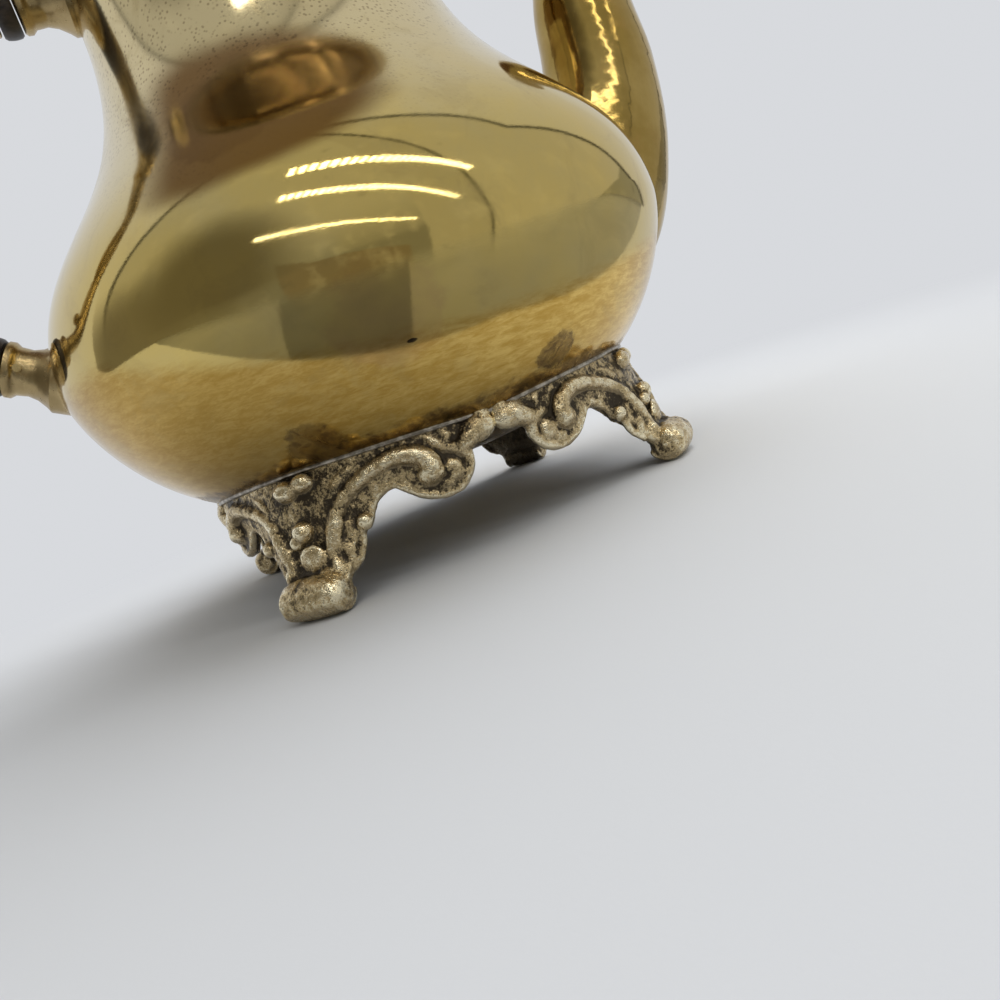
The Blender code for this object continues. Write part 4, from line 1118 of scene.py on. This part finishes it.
def make_handle(material):
    mounts = handle_mounts()
    solids = Solids()
    ends = []
    for _, base, direction in mounts:
        start = base + direction * (SOCKET_LENGTH + 2 * FIT_GAP + COLLAR_LENGTH)
        outline = [(0.0, FERRULE_LENGTH), (HANDLE_BAR_RADIUS, FERRULE_LENGTH)]
        outline.append((HANDLE_BAR_RADIUS + FERRULE_NECK_STEP, FERRULE_NECK_PLACE))
        outline += [(FERRULE_RADIUS - inward, along) for inward, along in FERRULE_PROFILE] + [(0.0, 0.0)]
        turned_along(solids, outline, start, direction)
        ends.append(start + direction * (FERRULE_LENGTH - FIT_GAP))
    top, foot = ends
    corner = foot + mounts[1][2] * HANDLE_STEM * (foot.x + HANDLE_REACH)
    width = top.x + HANDLE_REACH

    def route(shares):
        return [
            (width * inward - HANDLE_REACH, HANDLE_ARCH + (corner.z - HANDLE_ARCH) * down, thickness)
            for inward, down, thickness in shares
        ]

    sweep = [(top.x, top.z, 1.0)] + route(HANDLE_SWEEP) + [(corner.x, corner.z, 1.0), (foot.x, foot.z, 0.85)]
    for line in (sweep, route(HANDLE_LEAF), route(HANDLE_SPUR)):
        path = smooth_path(line, steps=10)
        places = [(x, 0.0, z) for x, z, _ in path]
        tube(solids, places, [HANDLE_BAR_RADIUS * share for _, _, share in path], sides=20)
    for place, size in HANDLE_BALLS:
        x, z, _ = route([place])[0]
        blob(solids, (x, 0.0, z), AXES, (size, size, size))
    for x, z, _ in route(HANDLE_BANDS):
        blob(solids, (x, 0.0, z), AXES, HANDLE_BAND_SIZES)
    mesh = cast_together(solids, "handle", HANDLE_VOXEL, rounds=4)
    add_relief(mesh, rounds=30, reach=0.0010)
    add_piece("cast_handle", mesh, material, "pot", "handle", sharp=80)


def make_sockets(cast, horn):
    for name, base, direction in handle_mounts():
        solids = Solids()
        outline = [(0.0, SOCKET_LENGTH)]
        outline += [(SOCKET_RADIUS - inward, SOCKET_LENGTH - down) for inward, down in SOCKET_HEAD]
        outline += [(SOCKET_RADIUS - inward, SOCKET_LENGTH * share) for inward, share in SOCKET_WAIST]
        outline.append((SOCKET_RADIUS + SOCKET_FLARE * 0.5, SOCKET_LENGTH * 0.1))
        outline += [(SOCKET_RADIUS + SOCKET_FLARE, 0.0), (SOCKET_RADIUS + SOCKET_FLARE, -2 * SOCKET_RADIUS)]
        outline.append((0.0, -2 * SOCKET_RADIUS))
        turned_along(solids, dense(outline), base, direction)
        mesh = seated(solids.mesh("socket"))
        add_relief(mesh, rounds=10, reach=0.0005)
        add_piece("socket_" + name, mesh, cast, "pot", "handle_socket_" + name)
        collar = Solids()
        outline = [(0.0, COLLAR_LENGTH), (COLLAR_RADIUS - COLLAR_CHAMFER, COLLAR_LENGTH)]
        for step in range(1, COLLAR_STEPS):
            radius = COLLAR_RADIUS - COLLAR_BULGE + COLLAR_BULGE * sin(pi * step / COLLAR_STEPS)
            outline.append((radius, COLLAR_LENGTH * (1 - step / COLLAR_STEPS)))
        outline += [(COLLAR_RADIUS - COLLAR_CHAMFER, 0.0), (0.0, 0.0)]
        turned_along(collar, outline, base + direction * (SOCKET_LENGTH + FIT_GAP), direction)
        add_piece("collar_" + name, collar.mesh("collar"), horn, "pot", "heat_break_" + name)


def dense(outline, step=0.0006):
    """Outline with extra points, so that a cut through it follows the body closely."""
    points = []
    for (r0, z0), (r1, z1) in zip(outline, outline[1:]):
        count = max(1, int(hypot(r1 - r0, z1 - z0) / step))
        if r0 < ON_AXIS or r1 < ON_AXIS:
            count = 1
        points += [(r0 + (r1 - r0) * i / count, z0 + (z1 - z0) * i / count) for i in range(count)]
    return points + [outline[-1]]


# Lid

LID_RADIUS = 0.0478
LID_SEAT = MOUTH_HEIGHT + FIT_GAP
LID_CROWN_HEIGHT = 0.0240
LID_TOP = LID_SEAT + LID_CROWN_HEIGHT
LID_WALL = 0.001
WASHER_RADIUS = 0.0086
LID_FLANGE_WIDTH = 0.0084
LID_FLANGE_THICKNESS = 0.0020
# In from the lid's edge, and down from the flange's top or up from the seat
LID_EDGE_TOP = ((0.0022, 0.0), (0.0016, 0.0003), (0.0010, 0.0001), (0.0003, 0.0004), (0.0, 0.0010))
LID_EDGE_FOOT = ((0.0003, 0.0004), (0.0006, 0.0))
DOME_PULL = 0.56
BEZEL_DEPTH = 0.0062
BEZEL_CLEARANCE = 0.0009
STUD_RADIUS = 0.0020
STUD_HOLE = STUD_RADIUS + FIT_GAP
VENT_RADIUS = 0.0011
VENT_OFFSET = 0.024


def make_lid(polished, cast, plain):
    edge = LID_RADIUS - LID_FLANGE_WIDTH
    flange = LID_SEAT + LID_FLANGE_THICKNESS
    start = (WASHER_RADIUS, LID_TOP)
    end = (edge, flange)
    half = edge * DOME_PULL
    dome = bezier(start, (half, LID_TOP), (half, flange + 2 * LID_WALL), end, count=40) + [end]
    under = [(STUD_HOLE, LID_TOP - LID_WALL), (WASHER_RADIUS, LID_TOP - LID_WALL)]
    under += offset_outline(dome, -LID_WALL)[4:-1:2] + [(edge - LID_WALL, LID_SEAT)]
    rim = [(LID_RADIUS - inward, flange - down) for inward, down in LID_EDGE_TOP]
    rim += [(LID_RADIUS - inward, LID_SEAT + rise) for inward, rise in LID_EDGE_FOOT]
    shell = turned([(STUD_HOLE, LID_TOP)] + dome + rim + under[::-1], BODY_SIDES)
    vent = Solids()
    hole = [(VENT_OFFSET + VENT_RADIUS * cos(turn), VENT_RADIUS * sin(turn)) for turn in circle(20)]
    loft(vent, [[(*point, z) for point in hole] for z in (LID_SEAT, LID_TOP)])
    add_piece("lid_cover", bored(shell, vent, "lid"), polished, "lid", "lid_dome")
    outer = radius_at(LID_SEAT - FIT_GAP - BEZEL_DEPTH) - BODY_WALL - BEZEL_CLEARANCE
    bezel = [(outer - inward, LID_SEAT - down) for inward, down in BEZEL_PROFILE]
    add_piece("lid_ring", turned(bezel, BODY_SIDES).mesh("bezel"), polished, "lid", "lid_bezel")
    make_knob(cast, plain)


# In from the bezel's outside and down from its seat
BEZEL_PROFILE = (
    (0.0, 0.0001), (0.0, 0.0060), (0.0003, 0.0064), (0.0007, 0.0064), (0.001, 0.0060), (0.001, 0.0001),
)
# Shares of the knob's radius and of its height
KNOB_PROFILE = (
    (0.97, 0.00), (1.00, 0.02), (0.99, 0.06), (0.80, 0.09), (0.52, 0.13), (0.42, 0.19), (0.44, 0.25),
    (0.76, 0.335), (0.95, 0.40), (1.00, 0.46), (0.96, 0.53), (0.84, 0.60), (0.60, 0.665), (0.45, 0.70),
    (0.42, 0.735), (0.46, 0.78), (0.52, 0.83), (0.50, 0.89), (0.40, 0.94), (0.22, 0.985),
)
KNOB_RADIUS = 0.0074
KNOB_HEIGHT = 0.030
STUD_LENGTH = 0.0085
WASHER_THICKNESS = 0.0010
WASHER_LIFT = 0.0001
# Radius of the washer's corners, and their height over its underside
WASHER_PROFILE = (
    (0.0076, 0.0011), (0.0083, 0.0009), (0.0086, 0.0005), (0.0086, 0.0), (0.0022, 0.0), (0.0022, 0.0011),
)


def make_knob(cast, plain):
    base = LID_TOP + 2 * FIT_GAP + WASHER_THICKNESS
    sides = [(KNOB_RADIUS * wide, base + KNOB_HEIGHT * high) for wide, high in KNOB_PROFILE]
    stud = [(STUD_RADIUS, base), (STUD_RADIUS, base - STUD_LENGTH), (0.0, base - STUD_LENGTH)]
    outline = [(0.0, base + KNOB_HEIGHT)] + sides[::-1] + stud
    mesh = turned(dense(outline, step=0.0003), sides=96).mesh("knob")
    add_relief(mesh, rounds=40, reach=0.0006)
    add_piece("turned_knob", mesh, cast, "lid", "knob")
    ring = [(radius, LID_TOP + WASHER_LIFT + rise) for radius, rise in WASHER_PROFILE]
    add_piece("knob_seat", turned(ring, sides=96).mesh("washer"), plain, "lid", "knob_washer")


# Feet: places on a foot are (s, z), with s the distance round the ring from the foot's middle

FOOT_RING_RADIUS = 0.0561
FOOT_TOP = 0.0290
WING_END = pi / 4 * FOOT_RING_RADIUS - FIT_GAP / 2
WING_TUCK = 0.0028
KNEE_WIDTH = 0.0110
KNEE_LEAN = 0.16
KNEE_BULGE = 0.0012
KNEE_DROP = 0.0060
LEG_SQUARENESS = 1.12
LOWER_EDGE = (
    (0.0000, 0.0105), (0.0078, 0.0108), (0.0116, 0.0130), (0.0147, 0.0166), (0.0178, 0.0184),
    (0.0208, 0.0184), (0.0238, 0.0158), (0.0268, 0.0140), (0.0301, 0.0133), (0.0334, 0.0141),
    (0.0357, 0.0165), (0.0368, 0.0200), (0.0382, 0.0212), (0.0402, 0.0213), (0.0422, 0.0226),
    (0.0434, 0.0242), (0.0439, 0.0262),
)
# Reach past the ring, height, half width and half depth
LEG_STATIONS = (
    (0.0002, 0.0190, 0.0088, 0.0015), (0.0006, 0.0165, 0.0100, 0.0016),
    (0.0012, 0.0138, 0.0108, 0.0017), (0.0018, 0.0108, 0.0092, 0.0021),
    (0.0027, 0.0082, 0.0080, 0.0026), (0.0043, 0.0058, 0.0070, 0.0030),
    (0.0062, 0.0044, 0.0062, 0.0026),
)


def foot_point(s, height, radius):
    angle = pi / 4 + s / FOOT_RING_RADIUS
    return Vector((radius * cos(angle), radius * sin(angle), height))


def foot_face(s, height):
    """Radius of the foot's front, which is tucked in at the wings and proud at the knee."""
    knee = 1.0 / (1.0 + (s / KNEE_WIDTH) ** 4)
    depth = max(0.0, FOOT_TOP - height)
    tuck = WING_TUCK * (s / WING_END) ** 2
    bulge = KNEE_BULGE * min(1.0, depth / KNEE_DROP)
    return FOOT_RING_RADIUS - tuck + knee * (KNEE_LEAN * depth + bulge)


def on_foot(s, height, lift=0.0):
    return foot_point(s, height, foot_face(s, height) + lift)


def foot_axes(s):
    """Axes on a foot at a place: round the ring, up, and outwards."""
    angle = pi / 4 + s / FOOT_RING_RADIUS
    around = Vector((-sin(angle), cos(angle), 0.0))
    return (around, Vector((0.0, 0.0, 1.0)), Vector((cos(angle), sin(angle), 0.0)))


PLATE_SINK = 0.0006
PLATE_BACK = 0.0031
PLATE_TOP_BACK = 0.0046
# Heights over the plate's lower edge, as shares of the way to its top
PLATE_HEIGHTS = (1.0, 0.8, 0.6, 0.4, 0.2, 0.08)
# Up from the plate's lower edge, and in from its front
PLATE_EDGE = ((0.0001, 0.0004), (0.0, 0.0008))


def foot_plate(solids):
    """Curved plate with the leg, the arch, the volute and the end lobe in its lower edge."""
    half = [(float(s), float(z)) for s, z in smooth_path(LOWER_EDGE, steps=4)]
    columns = [(-s, z) for s, z in half[:0:-1]] + half
    rings = []
    for s, low in columns:
        heights = [low + (FOOT_TOP - low) * share for share in PLATE_HEIGHTS]
        ring = [foot_point(s, height, foot_face(s, height) - PLATE_SINK) for height in heights]
        face = foot_face(s, low)
        for rise, inward in PLATE_EDGE:
            ring.append(foot_point(s, low + rise, face - PLATE_SINK - inward))
        ring.append(foot_point(s, low, face - PLATE_BACK))
        ring.append(foot_point(s, FOOT_TOP, FOOT_RING_RADIUS - PLATE_TOP_BACK))
        rings.append(ring)
    loft(solids, rings)


def foot_leg(solids):
    """Leg from the knee down to the toe, through rounded sections."""
    rings = []
    for reach, height, half_width, half_depth in smooth_path(LEG_STATIONS, steps=4):
        ring = []
        for turn in circle(28):
            across = half_width * max(-1.0, min(1.0, LEG_SQUARENESS * cos(turn)))
            ring.append(foot_point(across, height, FOOT_RING_RADIUS + reach + half_depth * sin(turn)))
        rings.append(ring)
    loft(solids, rings)


TOE_REACH = 0.0624
TOE_HEIGHT = 0.0043
TOE_SECTIONS = ((0.0, 1.0), (0.0026, 0.99), (0.0044, 0.94), (0.0056, 0.85), (0.0063, 0.70), (0.0067, 0.50))
TOE_DEPTH = 0.0046
TOE_CURL_START = radians(200)
TOE_CURL_TURN = radians(300)
TOE_CURL_STEPS = 40
TOE_CURL_RADIUS = 0.0006
TOE_CURL_REACH = 0.0041
TOE_CURL_CLOSE = 0.0008
TOE_CURL_FLATTEN = 0.9
TOE_CURL_SIDE = 0.0057
TOE_CURL_INWARD = 0.0006
# Place round, up and out, and half sizes, of the lumps at each end of the toe, and of the one on its top
TOE_LUMPS = (
    (0.0056, 0.0076, 0.0598, 0.0017, 0.0032, 0.0021),
    (0.0050, 0.0046, 0.0624, 0.0022, 0.0023, 0.0023),
)
TOE_TOP_LUMP = (0.0034, 0.0079, 0.0606, 0.0026, 0.0014, 0.0022)


def foot_toe(solids):
    """Scrolled toe: a rounded roll across the end of the leg, with a curled rim and a ball at each end."""
    rings = []
    mirrored = [(-across, share) for across, share in TOE_SECTIONS[:0:-1]]
    for across, share in mirrored + list(TOE_SECTIONS):
        ring = []
        for turn in circle(36):
            reach = TOE_DEPTH * share * cos(turn)
            rise = TOE_HEIGHT * share * sin(turn)
            ring.append(foot_point(across, TOE_HEIGHT + rise, TOE_REACH + reach))
        rings.append(ring)
    loft(solids, rings)
    for sign in (-1, 1):
        places = []
        for step in range(TOE_CURL_STEPS + 1):
            turn = TOE_CURL_START + TOE_CURL_TURN * step / TOE_CURL_STEPS
            close = TOE_CURL_REACH - TOE_CURL_CLOSE * step / TOE_CURL_STEPS
            across = TOE_CURL_SIDE - TOE_CURL_INWARD * step / TOE_CURL_STEPS
            height = TOE_HEIGHT + TOE_CURL_FLATTEN * close * sin(turn)
            places.append(foot_point(sign * across, height, TOE_REACH + close * cos(turn)))
        tube(solids, places, [TOE_CURL_RADIUS] * len(places), sides=10)
        for lump in TOE_LUMPS:
            toe_lump(solids, sign, *lump)
    toe_lump(solids, 1, *TOE_TOP_LUMP)


def toe_lump(solids, sign, across, height, radius, *half_sizes):
    blob(solids, foot_point(sign * across, height, radius), foot_axes(sign * across), half_sizes)


# Place on the foot, lift, and share of the ridge radius
CROWN_RIDGE = (
    (0.0042, 0.0074, 0.0002, 0.75), (0.0050, 0.0104, -0.0003, 0.95), (0.0060, 0.0137, -0.0004, 1.15),
    (0.0070, 0.0163, -0.0005, 1.10), (0.0082, 0.0186, -0.0005, 0.95), (0.0102, 0.0207, -0.0005, 0.90),
    (0.0130, 0.0222, -0.0004, 0.90), (0.0162, 0.0234, -0.0004, 0.95), (0.0200, 0.0243, -0.0003, 1.00),
    (0.0236, 0.0243, -0.0003, 1.10), (0.0266, 0.0231, -0.0003, 1.25), (0.0282, 0.0212, -0.0002, 1.35),
    (0.0282, 0.0194, 0.0000, 1.45),
)
RIM_RIDGE = (
    (0.0082, 0.0074, -0.0002, 0.45), (0.0097, 0.0092, -0.0004, 0.50), (0.0105, 0.0114, -0.0006, 0.55),
    (0.0108, 0.0134, -0.0006, 0.70), (0.0126, 0.0150, -0.0007, 0.80), (0.0146, 0.0174, -0.0008, 0.55),
    (0.0170, 0.0193, -0.0008, 0.50), (0.0196, 0.0195, -0.0008, 0.45), (0.0220, 0.0178, -0.0008, 0.50),
    (0.0244, 0.0158, -0.0008, 0.55), (0.0272, 0.0146, -0.0008, 0.60), (0.0302, 0.0141, -0.0008, 0.62),
    (0.0332, 0.0148, -0.0008, 0.62), (0.0354, 0.0168, -0.0007, 0.65), (0.0362, 0.0194, -0.0006, 0.75),
    (0.0350, 0.0216, -0.0005, 0.85), (0.0330, 0.0224, -0.0004, 0.70),
)
ARCH_RIDGE = (
    (0.0118, 0.0178, -0.0009, 0.50), (0.0158, 0.0206, -0.0009, 0.62), (0.0190, 0.0218, -0.0009, 0.62),
    (0.0216, 0.0216, -0.0009, 0.55), (0.0236, 0.0200, -0.0009, 0.50), (0.0250, 0.0178, -0.0008, 0.60),
    (0.0274, 0.0168, -0.0008, 0.60),
)
LEAF_RIDGES = (
    ((0.0318, 0.0226, -0.0005, 0.60), (0.0304, 0.0246, -0.0006, 0.65), (0.0284, 0.0264, -0.0008, 0.45)),
    ((0.0326, 0.0230, -0.0005, 0.55), (0.0332, 0.0250, -0.0006, 0.60), (0.0322, 0.0270, -0.0008, 0.40)),
    ((0.0346, 0.0214, -0.0004, 0.80), (0.0364, 0.0222, -0.0004, 1.20), (0.0390, 0.0238, -0.0004, 1.50)),
    ((0.0085, 0.0226, -0.0006, 0.60), (0.0105, 0.0244, -0.0006, 0.65), (0.0140, 0.0258, -0.0008, 0.45)),
)
RIDGE_RADIUS = 0.00175
RIDGE_SINK = 0.00055


def foot_ridges(solids):
    for line in (CROWN_RIDGE, RIM_RIDGE, ARCH_RIDGE, *LEAF_RIDGES):
        for sign in (-1, 1):
            path = smooth_path(line, steps=5)
            places = [on_foot(sign * s, z, lift - RIDGE_SINK) for s, z, lift, _ in path]
            tube(solids, places, [RIDGE_RADIUS * share for _, _, _, share in path], sides=10)


# Place on the foot, half sizes round, up and out, and lift
FOOT_BLOBS = (
    (-0.0013, 0.0253, 0.0032, 0.0022, 0.0019, -0.0002),
    (0.0028, 0.0259, 0.0026, 0.0019, 0.0018, -0.0002),
    (0.0003, 0.0168, 0.0024, 0.0022, 0.0020, 0.0000),
    (-0.0018, 0.0151, 0.0017, 0.0017, 0.0016, -0.0002),
    (0.0012, 0.0112, 0.0034, 0.0030, 0.0011, 0.0002),
)
PAIRED_BLOBS = (
    (0.0400, 0.0240, 0.0042, 0.0030, 0.0022, -0.0008),
    (0.0416, 0.0260, 0.0024, 0.0024, 0.0018, -0.0009),
    (0.0124, 0.0148, 0.0017, 0.0018, 0.0016, -0.0002),
    (0.0278, 0.0192, 0.0028, 0.0023, 0.0018, -0.0004),
    (0.0322, 0.0182, 0.0024, 0.0026, 0.0014, -0.0010),
    (0.0300, 0.0160, 0.0020, 0.0014, 0.0010, -0.0010),
    (0.0092, 0.0150, 0.0012, 0.0014, 0.0008, -0.0007),
    (0.0076, 0.0098, 0.0018, 0.0036, 0.0012, -0.0009),
)
LUMP_SCALE = 700.0
LUMP_HEIGHT = 0.00016
FOOT_VOXEL = 0.00026
FOOT_SEAM_RADIUS = 0.00060
FOOT_SEAM_STEPS = 110
FOOT_SEAM_SINK = 0.0003
FOOT_SEAM_LOWEST = 0.020


def foot_mesh():
    """One casting: plate, leg, toe, scroll ridges, leaves and beads under one skin."""
    solids = Solids()
    foot_plate(solids)
    foot_leg(solids)
    foot_toe(solids)
    foot_ridges(solids)
    mirrored = tuple((-s, *rest) for s, *rest in PAIRED_BLOBS)
    for s, z, wide, high, deep, lift in FOOT_BLOBS + PAIRED_BLOBS + mirrored:
        blob(solids, on_foot(s, z, lift), foot_axes(s), (wide, high, deep))
    mesh = cast_together(solids, "foot", FOOT_VOXEL, rounds=9)
    places = vertex_rows(mesh)
    lumps = np.array([lump_noise.noise(Vector(place) * LUMP_SCALE) for place in places])
    places += vertex_rows(mesh, "normal") * lumps[:, None] * LUMP_HEIGHT
    places[:, 2] = np.maximum(places[:, 2], 0.0)
    mesh.vertices.foreach_set("co", places.ravel())
    mesh.update()
    add_relief(mesh, rounds=70, reach=0.0010)
    return mesh


FOOT_NAMES = ("foot_spout_far", "foot_handle_far", "foot_handle_near", "foot_spout_near")


def foot_seam():
    """Line where a casting's front meets the body."""
    heights = np.linspace(FOOT_TOP, FOOT_SEAM_LOWEST, 60)
    points = []
    for step in range(-FOOT_SEAM_STEPS, FOOT_SEAM_STEPS + 1):
        s = WING_END * step / FOOT_SEAM_STEPS
        points.append(meeting([on_foot(s, z, -FOOT_SEAM_SINK) for z in heights]))
    return points


def make_feet(cast, seam):
    mesh = seated(foot_mesh())
    line = foot_seam()
    bead = Solids()
    tube(bead, line, [FOOT_SEAM_RADIUS] * len(line), sides=10)
    bead = bead.mesh("seam")
    for index, name in enumerate(FOOT_NAMES):
        turn = Matrix.Rotation(pi / 2 * index, 4, "Z")
        copy = mesh.copy()
        copy.transform(turn)
        add_piece("casting_" + name, copy, cast, "pot", name, sharp=80)
        strip = bead.copy()
        strip.transform(turn)
        add_piece("solder_" + name, strip, seam, "pot", name, replaced=False)


SHOWN_NODES = (
    "pin_upper_socket", "pin_upper_ferrule", "pin_lower_socket", "pin_lower_ferrule",
    "knob_nut", "hinge_bracket", "hinge_leaf", "hinge_pin",
)


def dress_nodes(material):
    """Give the CAD nodes that stay shown a worked material."""
    for name in SHOWN_NODES:
        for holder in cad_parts[name].material_slots:
            holder.material = material


brass = body_brass()
cast = cast_brass()
spout_brass = warm_brass()
fittings = plain_brass("fittings_brass", FITTINGS_BRASS, roughness=0.24)
handle_brass = plain_brass("handle_brass", HANDLE_BRASS, roughness=0.27, grain_scale=520.0)
horn = dark_horn()
silver = solder()
make_body(brass)
make_spout(spout_brass, silver)
make_rim_and_disc(brass, fittings)
make_handle(handle_brass)
make_sockets(handle_brass, horn)
make_lid(brass, handle_brass, fittings)
make_feet(cast, silver)
dress_nodes(fittings)
make_stage()
make_soft_box()
make_lamps()
make_world()
make_camera()
bpy.context.scene.view_settings.view_transform = "Standard"
